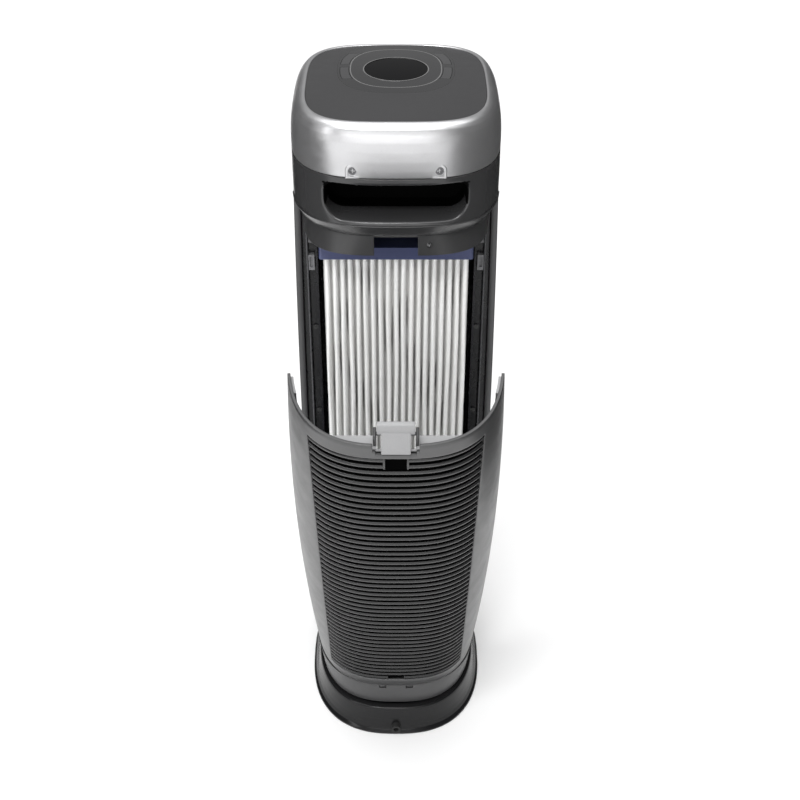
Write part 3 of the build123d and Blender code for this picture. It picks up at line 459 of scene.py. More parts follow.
def rear_shell(z, x_flat, y_edge, outline, steps=22):
    """Grid over the rear half of a shell: columns of fixed x in the middle, of even angle at the sides."""
    a, b, power = outline(z)
    power = np.broadcast_to(power, z.shape)
    middle_y = wall_y(x_flat[None, :], a[:, None], b[:, None], power[:, None])
    middle = np.stack([np.broadcast_to(x_flat, middle_y.shape), middle_y], axis=-1)
    angle = side_columns(a, b, power, x_flat[-1], y_edge, steps)
    right = oval_points(a, b, power, angle)
    left = right[:, ::-1] * np.array([-1, 1])
    return raised(np.concatenate([left, middle, right], axis=1), z)


# ---- base ---------------------------------------------------------------------------------------
def base_path():
    """Section of the foot: lip, concave flare, rolled top rim, deck, then back down inside."""
    width, depth = high("base_plinth")[0] / MM, high("base_plinth")[1] / MM
    steps = [(5.0, 0.05), (0.4, 0.05), (0.0, 0.6), (0.0, 2.6), (0.7, 3.3), (2.6, 5.0), (4.3, 9.5),
             (5.6, 16.0), (6.8, 24.0), (7.6, 30.2), (8.4, 32.4), (9.8, 33.0), (15.5, 32.9), (17.5, 31.6),
             (17.5, 29.0), (11.0, 28.0), (8.0, 12.0), (5.0, 3.0)]
    return [(width - inset, z, depth - inset, 2.5) for inset, z in steps]


class PURIFIER_OT_base(bpy.types.Operator):
    """Foot, and the finish of the lower ring"""

    bl_idname = "purifier.base"
    bl_label = "Base"

    def execute(self, context):
        black = plastic("Base Black", finish().base, 0.20, 1800.0, 0.10, 0.05, Specular_IOR_Level=0.28)
        grey = plastic("Ring Grey", finish().cover, 0.36)
        closed_ring("foot", base_path(), 0.8, black, "housing", ("base_plinth",))
        wear(grey, "lower_ring")
        return {"FINISHED"}


# ---- front shell --------------------------------------------------------------------------------
class PURIFIER_OT_body(bpy.types.Operator):
    """Front shell with its rolled rear edge, and the outlet grille"""

    bl_idname = "purifier.body"
    bl_label = "Body"

    def execute(self, context):
        grey = plastic("Body Grey", finish().body, 0.34)
        window_low, window_high = low("outlet_duct")[2] / MM + 2, high("outlet_duct")[2] / MM - 2
        half = high("outlet_duct")[0] / MM
        z = np.unique(np.concatenate([np.linspace(SHELL_LOW, SHELL_HIGH, 60), [window_low, window_high]]))
        x_flat = np.unique(np.concatenate([np.linspace(-half, half, 41), [-half, half]]))
        rear = rear_shell(z, x_flat, 0.02, body_outline)
        front = rear * np.array([1, -1, 1])
        a, b, power = body_outline(z)
        edge = self.edge_columns(z, a, b, power)
        points = np.concatenate([edge[:, ::-1] * np.array([-1, 1, 1]), front, edge], axis=1)
        cell_z, cell_x = cell_centres(z, points)
        in_front = points[:1, 1:, 1] + points[:1, :-1, 1] < 0
        hole = between(cell_z, window_low, window_high) & (np.abs(cell_x) < half) & in_front
        faces = quads(points, keep=~hole)
        add_piece("front_case", points, faces, grey, "housing",
                  thickness=shape().wall, replaces=("front_shell",))
        self.grille(window_low, window_high, half)
        return {"FINISHED"}

    def edge_columns(self, z, a, b, power):
        """Side of the shell behind its middle, its rounded rear edge and the return along the channel."""
        steps = np.linspace(0, SHELL_EDGE_Y - 0.8, 14)[None, 1:]
        x = a[:, None] * (1 - (steps / b[:, None]) ** power[:, None]) ** (1 / power[:, None])
        side = np.stack([x, np.broadcast_to(steps, x.shape)], axis=-1)
        corner = side[:, -1:, :]
        rolled = np.array([(-0.05, 0.35), (-0.3, 0.65), (-0.8, 0.8), (-3.0, 0.8), (-5.2, 0.8), (-5.8, 0.6),
                           (-6.1, 0.1), (-6.2, -0.8), (-6.2, -3.5), (-6.2, -7.0)])
        return raised(np.concatenate([side, corner + rolled[None]], axis=1), z)

    def grille(self, window_low, window_high, half):
        rows = np.arange(window_low + 6.5, window_high - 3, 9.6)
        dark = plastic("Grille Dark", finish().head, 0.34)
        slats = slat_bank(rows, half + 0.6, 5.0, 2.0, body_outline) * np.array([1, -1, 1])
        add_slats("outlet_slats", slats, dark, "housing", ("outlet_grille",))


def slat_bank(rows, half, height, depth, outline, columns=45):
    """Slats that follow the shell: a rounded section carried across at each height.
    The section is a superellipse of power 2.6 in height and depth; the result is rows by columns by turn."""
    turn = full_turn(14)
    radius = oval_radius(height / 2, depth / 2, 2.6, turn)
    rise, inset = radius * np.cos(turn), depth / 2 + 0.25 - radius * np.sin(turn)
    x = np.linspace(-half, half, columns)
    a, b, power = [np.broadcast_to(item, rows.shape)[:, None, None] for item in outline(rows)]
    y = wall_y(x[None, :, None], a - inset[None, None, :], b - inset[None, None, :], power)
    z = rows[:, None, None] + rise[None, None, :] + 0 * y
    return np.stack([np.broadcast_to(x[None, :, None], y.shape), y, z], axis=-1) * MM


def add_slats(name, bank, material, body, replaces=()):
    """Mesh a bank of slats, each closed by a face over its ends."""
    count, columns, around = bank.shape[:3]
    one = quads(bank[0], wrap_columns=True)
    shift = (np.arange(count) * columns * around)[:, None, None]
    walls = (one[None] + shift).reshape(-1, 4).tolist()
    ring = np.arange(around)
    caps = np.concatenate([ring[None] + shift[:, 0], ring[None] + shift[:, 0] + (columns - 1) * around])
    return add_piece(name, bank, walls + caps.tolist(), material, body, replaces=replaces)


# ---- filter -------------------------------------------------------------------------------------
def pleat_surface(columns_per_fold=18, rows=140):
    """Rear face of the pleats. Across: x runs with the angle, and the depth below the ridge is one less
    a power of the half-cosine, so ridges are broad and valleys narrow. Along: each ridge wanders by
    sines of its own phase, and some folds gape where a slow sine of their own runs high."""
    corner, far = low("filter_pleats") / MM, high("filter_pleats") / MM
    folds = shape().pleats
    pitch = (far[0] - corner[0]) / folds
    turn = np.linspace(0, 2 * np.pi * folds, columns_per_fold * folds + 1)
    across = corner[0] + pitch * turn / (2 * np.pi)
    ridge = 1 - ((1 + np.cos(turn)) / 2) ** 2.2
    z = np.linspace(corner[2], far[2], rows)
    height = ((z - corner[2]) / (far[2] - corner[2]))[:, None]
    fold = np.floor(turn / (2 * np.pi)).clip(0, folds - 1)
    phase = np.sin(fold * 12.9898) * 43.758
    hold = np.sin(np.pi * height) ** 0.35
    wander = 0.75 * np.sin(2 * np.pi * (1.1 * height + phase)) \
        + 0.4 * np.sin(2 * np.pi * (2.7 * height + 1.7 * phase))
    x = across + wander * hold * ridge
    gape = (np.sin(2 * np.pi * (2.1 * height + 2.3 * phase)) - 0.80).clip(0, None) * 45.0 * hold
    slit = np.cos(turn / 2 + np.pi * fold) ** 24
    y = far[1] - (1 - ridge) * shape().pleat_depth / MM - gape * slit
    return np.stack([x, y, z[:, None] + 0 * x], axis=-1) * MM


class PURIFIER_OT_filter(bpy.types.Operator):
    """Pleated filter pack, closed over its top and bottom"""

    bl_idname = "purifier.filter"
    bl_label = "Filter"

    def execute(self, context):
        media = surface("Filter Media", "fibre", {"Colour": (*finish().media, 1.0), "Soil": 0.10},
                        0.35, 0.00012, Subsurface_Weight=0.0)
        rear = pleat_surface()
        front_y = low("filter_pleats")[1]
        front = rear.copy()
        front[..., 1] = front_y + (high("filter_pleats")[1] - rear[..., 1])
        rows, columns = rear.shape[:2]
        loop = np.concatenate([rear, front[:, ::-1]], axis=1)
        faces = quads(loop, wrap_columns=True).tolist()
        top = np.arange(columns)
        lid = np.stack([top[:-1], top[1:], 2 * columns - 2 - top[:-1], 2 * columns - 1 - top[:-1]], axis=1)
        faces += lid.tolist() + (lid + (rows - 1) * 2 * columns).tolist()
        add_piece("pleat_pack", loop, faces, media, "housing",
                  replaces=("filter_pleats",))
        return {"FINISHED"}


# ---- rear cover ---------------------------------------------------------------------------------
SLAT_ROWS, FIRST_SLAT, SLAT_DEPTH = 49, 86.3, 2.4
WINDOW_HALF, WINDOW_MARGIN = 70.0, 4.6
COVER_EDGE_Y = 28.5
CUT_LOW, CUT_STEP = 569.6, 573.6          # rim cut: bottom of its narrow part, and of its full width
CUT_NARROW, CUT_HALF = 16.0, 18.2
POST_X, POST_HALF, SPLIT_HALF = 9.4, 0.9, 8.6
LUG_RADIUS, LUG_REACH = 3.0, 17.0
LUG_X = np.array([11.0, 11.3, 17.7, 18.0])
POST_DEPTHS = {"clip": (93.0, 95.2), "foot": (103.2, 105.4)}


def slat_heights():
    return FIRST_SLAT + np.arange(SLAT_ROWS) * shape().slat_pitch / MM


class PURIFIER_OT_cover(bpy.types.Operator):
    """Rear cover: shell with its louvre window and rim notch, louvres and light liner"""

    bl_idname = "purifier.cover"
    bl_label = "Rear cover"

    def execute(self, context):
        grey = plastic("Cover Grey", finish().cover, 0.34)
        light = plastic("Liner Grey", finish().light, 0.5)
        self.shell(grey)
        # The louvres take the cover's grey at 0.36 of its value: a shaded copy of the cover's material,
        # painted shade over the louvre window.
        shaded_louvre = tuple(0.36 * v for v in finish().cover)
        self.louvres(plastic("Louvre Painted Shade", shaded_louvre, 0.28, Specular_IOR_Level=0.4))
        self.lugs(grey)
        wear(light, "cover_liner")
        # The carbon prefilter is dark of its own, but is given near-black with no specular as painted shade
        # inside the cover and in the clip hole.
        foam_and_shade = surface("Carbon Foam Painted Shade", "fibre", {"Colour": (0.002, 0.002, 0.002, 1.0), "Soil": 0.0},
                       0.5, 0.0003, Specular_IOR_Level=0.0)
        wear(foam_and_shade, "carbon_prefilter")
        return {"FINISHED"}

    def shell(self, grey):
        rows = slat_heights()
        window = (rows[0] - WINDOW_MARGIN, rows[-1] + WINDOW_MARGIN)
        z = np.unique(np.concatenate([np.linspace(COVER_LOW, COVER_HIGH, 90), window, [CUT_LOW, CUT_STEP]]))
        x_flat = np.unique(np.concatenate([np.linspace(-WINDOW_HALF, WINDOW_HALF, 57),
                                           [-CUT_HALF, -CUT_NARROW, CUT_NARROW, CUT_HALF]]))
        closed = rear_shell(z, x_flat, COVER_EDGE_Y, cover_outline)
        points = opened(closed)
        cell_z, cell_x = cell_centres(z, closed)
        hole = between(cell_z, *window) & (np.abs(cell_x) < WINDOW_HALF)
        notch = ((cell_z > CUT_STEP) & (np.abs(cell_x) < CUT_HALF)) \
            | ((cell_z > CUT_LOW) & (np.abs(cell_x) < CUT_NARROW))
        faces = quads(points, keep=~(hole | notch))
        add_piece("cover_case", points, faces, grey, "rear_cover",
                  thickness=2.5 * MM, bevel=0.35 * MM, replaces=("cover_shell",))

    def louvres(self, grey):
        rows = slat_heights()
        height = shape().slat_height / MM
        full = slat_bank(rows[1:-2], WINDOW_HALF + 0.6, height, SLAT_DEPTH, cover_outline)
        add_slats("louvres", opened(full), grey, "rear_cover", ("cover_louvres",))
        for side in (-1, 1):
            short = slat_bank(rows[[0, -2, -1]], WINDOW_HALF + 0.6, height, SLAT_DEPTH, cover_outline, 91)
            keep = np.sign(side) * short[0, :, 0, 0] > SPLIT_HALF * MM
            add_slats(f"louvres_split_{hand(side)}", opened(short[:, keep]), grey, "rear_cover")
            x0, x1 = side * POST_X - POST_HALF, side * POST_X + POST_HALF
            heights = {"clip": (rows[-2] - height / 2 - 1.5, rows[-1] + 4.8),
                       "foot": (rows[0] - 4.6, rows[0] + height / 2 + 1.5)}
            for label, depths in POST_DEPTHS.items():
                post = rounded_box(x0, x1, *depths, *heights[label], 0.5)
                tube(f"{label}_post_{hand(side)}", opened(post), grey, "rear_cover")

    def lugs(self, grey):
        """Hinge lug: a half round below the hinge line with a strap up to the cover wall."""
        turn = np.linspace(0, -np.pi, 13)
        strap = [(-LUG_RADIUS, LUG_REACH), (1.5, LUG_REACH), (1.5, 2.4)]
        outline = np.concatenate([polar(LUG_RADIUS, turn), strap])
        for side in (-1, 1):
            scale = np.array([0.92, 1.0, 1.0, 0.92])[:, None, None]
            sections = crosswise(outline[None] * scale + HINGE[1:] / MM, side * LUG_X)
            tube(f"cover_lug_{hand(side)}", opened(sections), grey, "rear_cover")


LATCH_PIN = (85.0, 586.0)                 # depth and height of the pin
LATCH_HALF, FLANGE_HALF = 11.5, 14.75
LATCH_LOW, LATCH_HIGH, LATCH_SLANT = 570.8, 603.2, 0.36
CHEEK_X = (15.3, 17.8)
CHEEK_SIDE = (81.0, 89.5, 574.0, 589.5)   # least and most depth, then height


class PURIFIER_OT_latch(bpy.types.Operator):
    """Latch plate, its flange and barrel, and the two cheeks that carry its pin"""

    bl_idname = "purifier.latch"
    bl_label = "Latch"

    def execute(self, context):
        light = plastic("Latch Grey", tuple(0.95 * v for v in finish().light), 0.55)
        # The cheeks are near-black, darker than the cover they belong to: painted shade of the hinge gaps
        # beside the latch.
        dark = plastic("Cheek Painted Shade", (0.030, 0.030, 0.031), 0.4)
        y, z = LATCH_PIN
        face = y + 3.0
        tongue = rounded_box(-LATCH_HALF, LATCH_HALF, face - 2.6, face, LATCH_LOW, z + 6, 0.7)
        tongue[..., 1] += LATCH_SLANT * ((z + 6) * MM - tongue[..., 2])
        flange = rounded_box(-FLANGE_HALF, FLANGE_HALF, y - 1.2, face, z + 3, LATCH_HIGH, 0.9)
        x = np.array([-LATCH_HALF, 0.3 - LATCH_HALF, LATCH_HALF - 0.3, LATCH_HALF])
        radius = np.array([2.6, 2.95, 2.95, 2.6])
        barrel = crosswise(polar(radius[:, None], full_turn(24)) + LATCH_PIN, x)
        for label, sections in (("tongue", tongue), ("flange", flange), ("barrel", barrel)):
            tube(f"latch_{label}", opened(sections), light, "latch_lever",
                 replaces=("latch",) if label == "tongue" else ())
        for side in (-1, 1):
            x0, x1 = sorted((side * CHEEK_X[0], side * CHEEK_X[1]))
            cheek = rounded_box(x0, x1, *CHEEK_SIDE, 0.6)
            tube(f"latch_cheek_{hand(side)}", opened(cheek), dark, "rear_cover",
                 replaces=("latch_bracket",) if side > 0 else ())
        return {"FINISHED"}


# ---- head ---------------------------------------------------------------------------------------
SLOT_HALF, SLOT_LOW, SLOT_HIGH = 61.0, 622.6, 656.4
SLOT_FLOOR_Y = 50.0
NOTCH_HALF, NOTCH_HIGH = 19.25, 604.0
HEAD_HALF, HEAD_DEPTH = 92.8, 95.5        # half width and half depth


def head_outline(z):
    """Upright band of the head, very slightly bowed."""
    bow = 0.15 * np.sin(np.pi * (z - HEAD_LOW) / (HEAD_HIGH - HEAD_LOW))
    return HEAD_HALF + bow, HEAD_DEPTH + 0 * z, 3.0


def slot_loop(angle):
    """Handle opening seen from behind: a rectangle with small upper and large lower corners.
    Each corner is an arc; the outline is read off by its direction from the middle."""
    centre_z = (SLOT_LOW + SLOT_HIGH) / 2
    half = (SLOT_HIGH - SLOT_LOW) / 2
    arcs = []
    for sx, sz, radius, start in ((1, 1, 9.0, 0.0), (-1, 1, 9.0, 90.0), (-1, -1, 16.8, 180.0),
                                  (1, -1, 16.8, 270.0)):
        turn = np.radians(start + np.linspace(0, 90, 120))
        centre = np.array([sx * (SLOT_HALF - radius), sz * (half - radius)])
        arcs.append(polar(radius, turn) + centre)
    points = np.concatenate(arcs)
    points = np.concatenate([points, points[:1]])
    dense = np.linspace(0, 1, 30)[None, :, None]
    points = (points[:-1, None] * (1 - dense) + points[1:, None] * dense).reshape(-1, 2)
    direction = np.unwrap(np.arctan2(points[:, 1], points[:, 0]))
    turns = np.mod(angle - direction[0], 2 * np.pi) + direction[0]
    x = np.interp(turns, direction, points[:, 0])
    z = np.interp(turns, direction, points[:, 1])
    return x, z + centre_z


class PURIFIER_OT_head(bpy.types.Operator):
    """Head band with the handle recess, its chamfer and the skirt with the latch notch"""

    bl_idname = "purifier.head"
    bl_label = "Head"

    def execute(self, context):
        dark = plastic("Head Dark", finish().head, 0.24, bump=0.03, rub=0.03)
        self.band(dark)
        self.chamfer(dark)
        self.skirt(plastic("Skirt Dark", tuple(1.1 * v for v in finish().head), 0.36))
        return {"FINISHED"}

    def band(self, dark):
        half, middle = 78.0, (HEAD_LOW + HEAD_HIGH) / 2
        rise = (HEAD_HIGH - HEAD_LOW) / 2
        up = np.linspace(-1, 1, 23)
        along = np.linspace(-1, 1, 81)
        right = np.stack([np.ones(22), up[:-1]], 1)
        top = np.stack([-along[:-1], np.ones(80)], 1)
        border = np.concatenate([right, top, -right, -top]) * (half, rise)
        angle = np.arctan2(border[:, 1], border[:, 0])
        x_slot, z_slot = slot_loop(angle)
        slot = np.stack([x_slot, z_slot - middle], 1)
        ahead, behind = np.roll(slot, -1, axis=0), np.roll(slot, 1, axis=0)
        normal = np.stack([(ahead - behind)[:, 1], -(ahead - behind)[:, 0]], 1)
        normal /= np.linalg.norm(normal, axis=1)[:, None]
        lip = shape().lip / MM
        shared = slot + normal * lip
        spread = np.linspace(1, 0, 9)[:, None, None]
        skin = border[None] * spread + shared[None] * (1 - spread)
        skin_y = wall_y(skin[..., 0], *head_outline(skin[..., 1] + middle))
        turn = np.radians([20, 40, 60, 80, 90])[:, None, None]
        rolled = shared[None] - normal[None] * lip * np.sin(turn)
        roll_y = wall_y(rolled[..., 0], *head_outline(rolled[..., 1] + middle)) \
            - lip * (1 - np.cos(turn[..., 0]))
        depth = np.array([88.0, 78.0, 66.0, 53.0, 50.6, 50.0])[:, None]
        inset = np.array([0.1, 0.3, 0.6, 0.9, 1.6, 3.0])[:, None, None]
        deep = slot[None] - normal[None] * inset
        deep_y = np.broadcast_to(np.minimum(depth, roll_y[-1:] - 0.5), deep.shape[:2])
        flat = np.concatenate([skin, rolled, deep, 0.02 * deep[-1:]])
        y = np.concatenate([skin_y, roll_y, deep_y, np.full((1, len(slot)), SLOT_FLOOR_Y)])
        points = np.stack([flat[..., 0], y, flat[..., 1] + middle], -1) * MM
        count, columns = points[..., 0].size, points.shape[1]
        patch = quads(points, wrap_columns=True)
        cap = [list(range(count - columns, count))]
        z = up * rise + middle
        sides = self.round_the_front(z, half)
        strip = quads(sides) + count
        every = np.concatenate([points.reshape(-1, 3), sides.reshape(-1, 3)])
        faces = patch.tolist() + cap + strip.tolist()
        case = add_piece("head_case", every, faces, dark, "housing", thickness=1.2 * MM,
                         replaces=("head_shell", "handle_pocket"))
        # Faces deep in the handle pocket take a near-black material with no specular: painted shade of the
        # recess. Its floor keeps the head's grey.
        case.data.materials.append(plastic("Pocket Painted Shade", (0.003, 0.003, 0.003), 0.6, Specular_IOR_Level=0.0))
        centres = np.zeros(3 * len(case.data.polygons))
        case.data.polygons.foreach_get("center", centres)
        x, y, z = centres.reshape(-1, 3).T / MM
        inside = (np.abs(x) < SLOT_HALF + 1) & between(y, 45, 92) & between(z, SLOT_LOW - 1, SLOT_HIGH + 1)
        # deep marks the faces painted in shade: the pocket's back wall and its upper part.
        deep = inside & ((y < 60) | (z > SLOT_LOW + 12))
        case.data.polygons.foreach_set("material_index", deep.astype(int))

    def round_the_front(self, z, half):
        """Strip from one rear corner, round the front, to the other rear corner."""
        a, b, power = head_outline(z)
        start = np.arctan2(wall_y(half, a, b, power), half)
        sweep = np.linspace(0, 1, 150)[None]
        angle = start[:, None] - (np.pi + 2 * start[:, None]) * sweep
        return raised(oval_points(a, b, power, angle), z)

    def arc_shell(self, rows, y_edge, x_flat):
        """Rear arc through rows of (height, half width, half depth, power)."""
        z, *outline = np.asarray(rows, float).T
        return rear_shell(z, x_flat, y_edge, lambda _: outline)

    def chamfer(self, dark):
        rows = [(HEAD_LOW, HEAD_HALF, HEAD_DEPTH, 3.0), (618.4, 92.5, 95.2, 3.0), (613.0, 90.0, 92.4, 2.93),
                (607.6, 87.3, 89.4, 2.86), (606.6, 86.4, 88.6, 2.85), (606.2, 85.0, 87.2, 2.85),
                (606.4, 82.0, 84.0, 2.85)]
        grid = self.arc_shell(rows, SHELL_EDGE_Y + 0.4, np.linspace(-60, 60, 61))
        add_piece("head_chamfer", grid, quads(grid), dark, "housing",
                  thickness=1.0 * MM)

    def skirt(self, dark):
        z = np.array([SKIRT_HIGH - 0.2, 604.0, 600.0, 595.0, 590.0, SKIRT_LOW + 0.5, SKIRT_LOW])
        part = (z - SKIRT_LOW) / (SKIRT_HIGH - SKIRT_LOW)
        rows = np.stack([z, 84.2 + 1.4 * part, 87.6 + 0.4 * part, 3.5 - 0.65 * part], 1)
        x_flat = np.unique(np.concatenate([np.linspace(-60, 60, 61), [-NOTCH_HALF, NOTCH_HALF]]))
        grid = self.arc_shell(rows, SHELL_EDGE_Y + 0.8, x_flat)
        cell_z, cell_x = cell_centres(z, grid)
        faces = quads(grid, keep=~((np.abs(cell_x) < NOTCH_HALF) & (cell_z < NOTCH_HIGH)))
        add_piece("skirt_band", grid, faces, dark, "housing", thickness=2.4 * MM,
                  bevel=0.3 * MM, replaces=("skirt",))


# ---- silver trim and panel ----------------------------------------------------------------------
def trim_path():
    """Section of the band: upright bulging side, tight shoulder, rim round the panel, thin wall inside."""
    outer = [(92.5, 663.4), (92.8, 664.3), (92.9, 670.0), (92.65, 679.0), (92.0, 688.0), (90.8, 696.0),
             (89.2, 702.0), (86.9, 706.6), (84.2, 709.6), (81.6, 711.0), (79.6, 711.5), (78.6, 711.2),
             (78.4, 710.2), (78.4, 706.0)]
    inner = [(81.5, 704.0), (85.6, 700.0), (88.6, 690.0), (89.9, 676.0), (90.2, 664.0), (90.8, 663.4)]
    path = []
    for a, z in outer + inner:
        rise = min(max((z - TRIM_LOW) / (TRIM_HIGH - TRIM_LOW), 0), 1)
        path.append((a, z, a + 2.3 + 4.7 * rise, 3.0 + 0.7 * rise ** 2))
    return path


class PURIFIER_OT_trim(bpy.types.Operator):
    """Silver band round the head and the arched bosses of its two screws"""

    bl_idname = "purifier.trim"
    bl_label = "Silver trim"

    def execute(self, context):
        silver = surface("Silver Lacquer", "lacquer", {"Colour": (*finish().silver, 1.0), "Roughness": 0.36},
                         0.06, 0.00002, Metallic=0.85, Coat_Weight=0.25, Coat_Roughness=0.2)
        closed_ring("silver_band", trim_path(), 1.2, silver, "housing", ("silver_trim",))
        screws_low, screws_high = low("trim_screws") / MM, high("trim_screws") / MM
        x_screw = (screws_high[0] - screws_low[0]) / 2 - 3.5
        z_screw = (screws_high[2] + screws_low[2]) / 2
        for side in (-1, 1):
            self.boss(side * x_screw, z_screw, silver, hand(side))
        return {"FINISHED"}

    def boss(self, x, z, silver, letter):
        """Arched flat boss: half a circle above, straight sides down to the band's lower edge."""
        half = 6.25
        turn = np.linspace(0, np.pi, 25)
        foot = [(-half, TRIM_LOW + 0.3 - z), (half, TRIM_LOW + 0.3 - z)]
        outline = np.concatenate([polar(half, turn), foot])
        rows = [(1.0, 88.0), (1.0, 93.3), (0.95, 93.9), (0.88, 94.05), (0.64, 94.05), (0.60, 93.4),
                (0.60, 92.2)]
        grid = np.array([[(x + px * s, y, z + (pz * s if pz > 0 else pz * min(1.0, s + 0.12)))
                          for px, pz in outline] for s, y in rows]) * MM
        tube(f"screw_boss_{letter}", grid, silver, "housing")


class PURIFIER_OT_panel(bpy.types.Operator):
    """Domed top panel, control fascia, keys, lens and light rings"""

    bl_idname = "purifier.panel"
    bl_label = "Control panel"

    def execute(self, context):
        dark = plastic("Panel Grey", (0.040, 0.040, 0.0415), 0.42, 1100.0, 0.05, 0.2)
        gloss = plastic("Fascia Gloss", (0.034, 0.034, 0.0355), 0.20, 2000.0, 0.05, 0.03)
        key = plastic("Key Gloss", (0.052, 0.052, 0.054), 0.22, 2000.0, 0.05, 0.03)
        light = metal("Ring Silver", (0.62, 0.62, 0.62), 0.35)
        lens = plastic("Lens Black", (0.002, 0.002, 0.0025), 0.08, 2500.0, 0.02, 0.0, rub=0.02,
                       Specular_IOR_Level=0.08)
        wear(dark, "top_panel")
        wear(gloss, "control_fascia")
        wear(key, "key_power", "key_speed", "key_uv", "key_timer")
        wear(light, "fascia_ring", "lens_bezel")
        wear(lens, "display_lens")
        return {"FINISHED"}


def wear(material, *names):
    """Give carried-over CAD nodes their material."""
    for name in names:
        data = frame["nodes"][name].data
        data.materials.clear()
        data.materials.append(material)


# ---- side channels ------------------------------------------------------------------------------
class PURIFIER_OT_channels(bpy.types.Operator):
    """Filter bay, side channels and what is fixed in them"""

    bl_idname = "purifier.channels"
    bl_label = "Side channels"

    def execute(self, context):
        black = plastic("Channel Black", (0.012, 0.012, 0.014), 0.28, 1500.0, 0.12, 0.1)
        # The rails are grey, lighter than the near-black channel they stand in: painted highlight along the
        # rib's edge.
        edge = plastic("Rail Painted Highlight", (0.075, 0.075, 0.08), 0.3, 1500.0, 0.08, 0.1)
        wear(black, "rear_frame", "filter_cradle")
        rail_low, rail_high = low("side_rails") / MM, high("side_rails") / MM
        for side in (-1, 1):
            x0, x1 = sorted((side * (rail_high[0] - 1.8), side * rail_high[0]))
            rail = rounded_box(x0, x1, rail_low[1], rail_high[1], rail_low[2], rail_high[2], 0.7)
            tube(f"channel_rail_{hand(side)}", rail, edge, "housing",
                 replaces=("side_rails",) if side > 0 else ())
        # The catches are light grey on the near-black frame: painted highlight along their lower edges.
        wear(plastic("Catch Painted Highlight", (0.20, 0.20, 0.21), 0.3), "side_catches")
        # The end caps are violet, given darker and greyer than their own colour: painted shade under the
        # skirt.
        wear(plastic("Cap Violet Painted Shade", (0.066, 0.078, 0.165), 0.42, 900.0, 0.12, 0.2), "filter_end_caps")
        return {"FINISHED"}


# ---- parts inside and small parts ---------------------------------------------------------------
class PURIFIER_OT_inside(bpy.types.Operator):
    """Finishes of the fan, lamp, boards and fasteners"""

    bl_idname = "purifier.inside"
    bl_label = "Inner parts"

    def execute(self, context):
        wear(plastic("Inner Black", (0.010, 0.010, 0.011), 0.55, 900.0, 0.12, 0.3), "neck_collar",
             "base_bottom_plate", "outlet_duct", "scroll_rear", "scroll_front", "head_floor")
        wear(plastic("Rubber", (0.012, 0.012, 0.012), 0.75, 700.0, 0.15, 0.5), "base_feet", "cord_inlet",
             "motor_mounts")
        wear(plastic("Board Green", (0.02, 0.10, 0.04), 0.45, 1200.0, 0.10, 0.2), "power_board",
             "control_board")
        wear(plastic("Wheel White", (0.55, 0.55, 0.53), 0.4), "impeller")
        wear(plastic("Lamp Glass", (0.75, 0.80, 0.95), 0.08, 2000.0, 0.02, 0.0, Alpha=0.55), "uv_lamp")
        wear(plastic("Inlet Ring Grey", (0.10, 0.10, 0.10), 0.45), "inlet_ring")
        wear(plastic("Socket White", (0.62, 0.62, 0.60), 0.3), "uv_sockets")
        wear(metal("Zinc Plate", (0.55, 0.56, 0.58), 0.32), "base_screws", "scroll_screws", "hub_nut",
             "motor_screws", "hinge_pins")
        wear(metal("Screw Bright", (0.13, 0.13, 0.135), 0.26), "motor_shaft", "trim_screws")
        wear(metal("Skirt Screw", (0.60, 0.60, 0.61), 0.25), "skirt_screw")
        wear(metal("Screw Dark", (0.10, 0.10, 0.10), 0.35), "channel_screws")
        wear(metal("Motor Can", (0.36, 0.36, 0.37), 0.4), "motor")
        wear(metal("Ballast Iron", (0.12, 0.12, 0.12), 0.6), "ballast_plate")
        wear(metal("Reflector", (0.80, 0.80, 0.80), 0.15), "uv_reflector")
        wear(metal("Pin Dark", (0.06, 0.06, 0.065), 0.35), "latch_pin")
        return {"FINISHED"}


# ---- stage --------------------------------------------------------------------------------------
def soft_box(name, place, aim_height, size, power):
    """Rectangular area light that faces the tower's axis at the given height."""
    data = bpy.data.lights.new(name, "AREA")
    data.shape = "RECTANGLE"
    data.size, data.size_y = size
    data.energy = power
    lamp = placed(name, data)
    lamp.location = place
    lamp.rotation_euler = (Vector((0, 0, aim_height)) - Vector(place)).to_track_quat("-Z", "Y").to_euler()


def staged_grid(name, points, material):
    """Stage piece through a grid of points."""
    mesh = bpy.data.meshes.new(name)
    mesh.from_pydata(points.reshape(-1, 3).tolist(), [], quads(points).tolist())
    mesh.materials.append(material)
    piece = placed(name, mesh)
    return piece


def dark_card(name, first, second, height):
    """Upright black card that only shows in glossy surfaces, as a studio flag does."""
    along = np.linspace(first, second, 9)
    points = np.stack([np.column_stack([along, np.full(9, z)]) for z in np.linspace(0.0, height, 9)])
    card = staged_grid(name, points, plastic("Card Black", (0.004, 0.004, 0.004), 0.9))
    card.visible_camera = False
    card.visible_diffuse = False
    card.visible_shadow = False


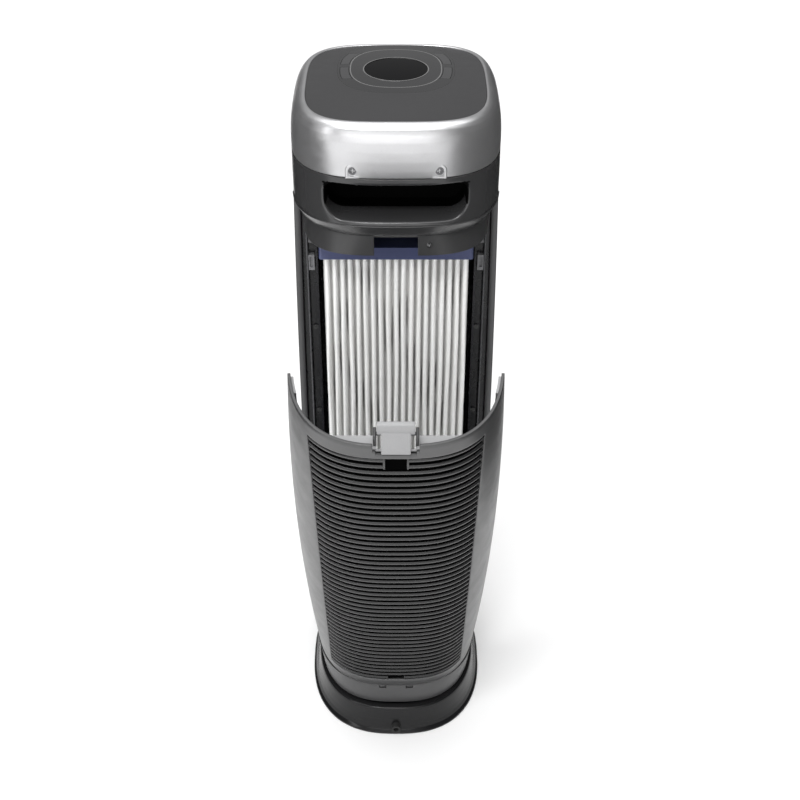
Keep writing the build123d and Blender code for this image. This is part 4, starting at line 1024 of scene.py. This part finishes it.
class PURIFIER_OT_stage(bpy.types.Operator):
    """Pale floor, soft lights and the camera"""

    bl_idname = "purifier.stage"
    bl_label = "Stage"

    def execute(self, context):
        self.floor()
        self.lights()
        self.camera()
        return {"FINISHED"}

    def floor(self):
        reach = np.linspace(-6.0, 6.0, 25)
        x, y = np.meshgrid(reach, reach)
        points = np.stack([x, y, np.full_like(x, -0.0002)], -1)
        pale = plastic("Floor Pale", (0.95, 0.95, 0.95), 0.85, 60.0, 0.004, 0.02, speck=0.002)
        staged_grid("floor", points, pale)

    def lights(self):
        world = bpy.data.worlds.new("Studio")
        world.use_nodes = True
        tree = world.node_tree
        back = tree.nodes["Background"]
        back.inputs["Color"].default_value = (1.0, 1.0, 1.0, 1.0)
        seen = node(tree, "LightPath", "Is Camera Ray", {})
        link(tree, remap(tree, seen, 0.0, 1.0, 0.32, 1.0), back.inputs["Strength"])
        bpy.context.scene.world = world
        sun = bpy.data.lights.new("overhead", "SUN")
        sun.energy, sun.angle = 2.5, radians(70)
        placed("overhead", sun).rotation_euler = (radians(-6), radians(3), 0.0)
        soft_box("rear_top", (0.25, 1.15, 2.1), 0.5, (0.6, 0.25), 12)
        soft_box("key_left", (1.6, 1.3, 1.1), 0.4, (0.5, 1.6), 9)
        soft_box("fill_rear", (0.2, 2.0, 0.9), 0.4, (1.4, 1.0), 10)
        dark_card("card_right", (-0.42, 0.75), (-0.30, -0.9), 1.1)
        dark_card("card_left", (0.55, 0.45), (0.38, -0.9), 1.0)

    def camera(self):
        data = bpy.data.cameras.new("camera")
        data.sensor_width = 36.0
        data.lens = 61.05
        data.shift_x = 0.005
        eye = placed("camera", data)
        eye.location = (0.0, 1.1293, 1.1742)
        eye.rotation_euler = (radians(54.475), 0.0, radians(180))
        bpy.context.scene.camera = eye
        bpy.context.scene.view_settings.view_transform = "Standard"


# ---- panel and registration ---------------------------------------------------------------------
class PURIFIER_PT_sidebar(bpy.types.Panel):
    """Buttons for each group of pieces"""

    bl_idname = "PURIFIER_PT_sidebar"
    bl_label = "Tower Air Purifier"
    bl_space_type = "VIEW_3D"
    bl_region_type = "UI"
    bl_category = "Purifier"

    def draw(self, context):
        for settings in (context.scene.purifier_shape, context.scene.purifier_finish):
            for field in settings.bl_rna.properties:
                if field.identifier not in ("rna_type", "name"):
                    self.layout.prop(settings, field.identifier)
        for step in STEPS:
            self.layout.operator(step.bl_idname)


STEPS = (PURIFIER_OT_base, PURIFIER_OT_body, PURIFIER_OT_channels, PURIFIER_OT_filter,
         PURIFIER_OT_cover, PURIFIER_OT_latch, PURIFIER_OT_head, PURIFIER_OT_trim,
         PURIFIER_OT_panel, PURIFIER_OT_inside, PURIFIER_OT_stage)
CLASSES = (PurifierShape, PurifierFinish, *STEPS, PURIFIER_PT_sidebar)


def register():
    for item in CLASSES:
        bpy.utils.register_class(item)
    bpy.types.Scene.purifier_shape = PointerProperty(type=PurifierShape)
    bpy.types.Scene.purifier_finish = PointerProperty(type=PurifierFinish)


def unregister():
    del bpy.types.Scene.purifier_finish
    del bpy.types.Scene.purifier_shape
    for item in reversed(CLASSES):
        bpy.utils.unregister_class(item)


def main():
    register()
    for step in STEPS:
        group, name = step.bl_idname.split(".")
        result = getattr(getattr(bpy.ops, group), name)()
        if result != {"FINISHED"}:
            raise RuntimeError(f"{step.bl_idname} did not finish")
    bpy.context.view_layer.update()


if __name__ == "__main__":
    main()
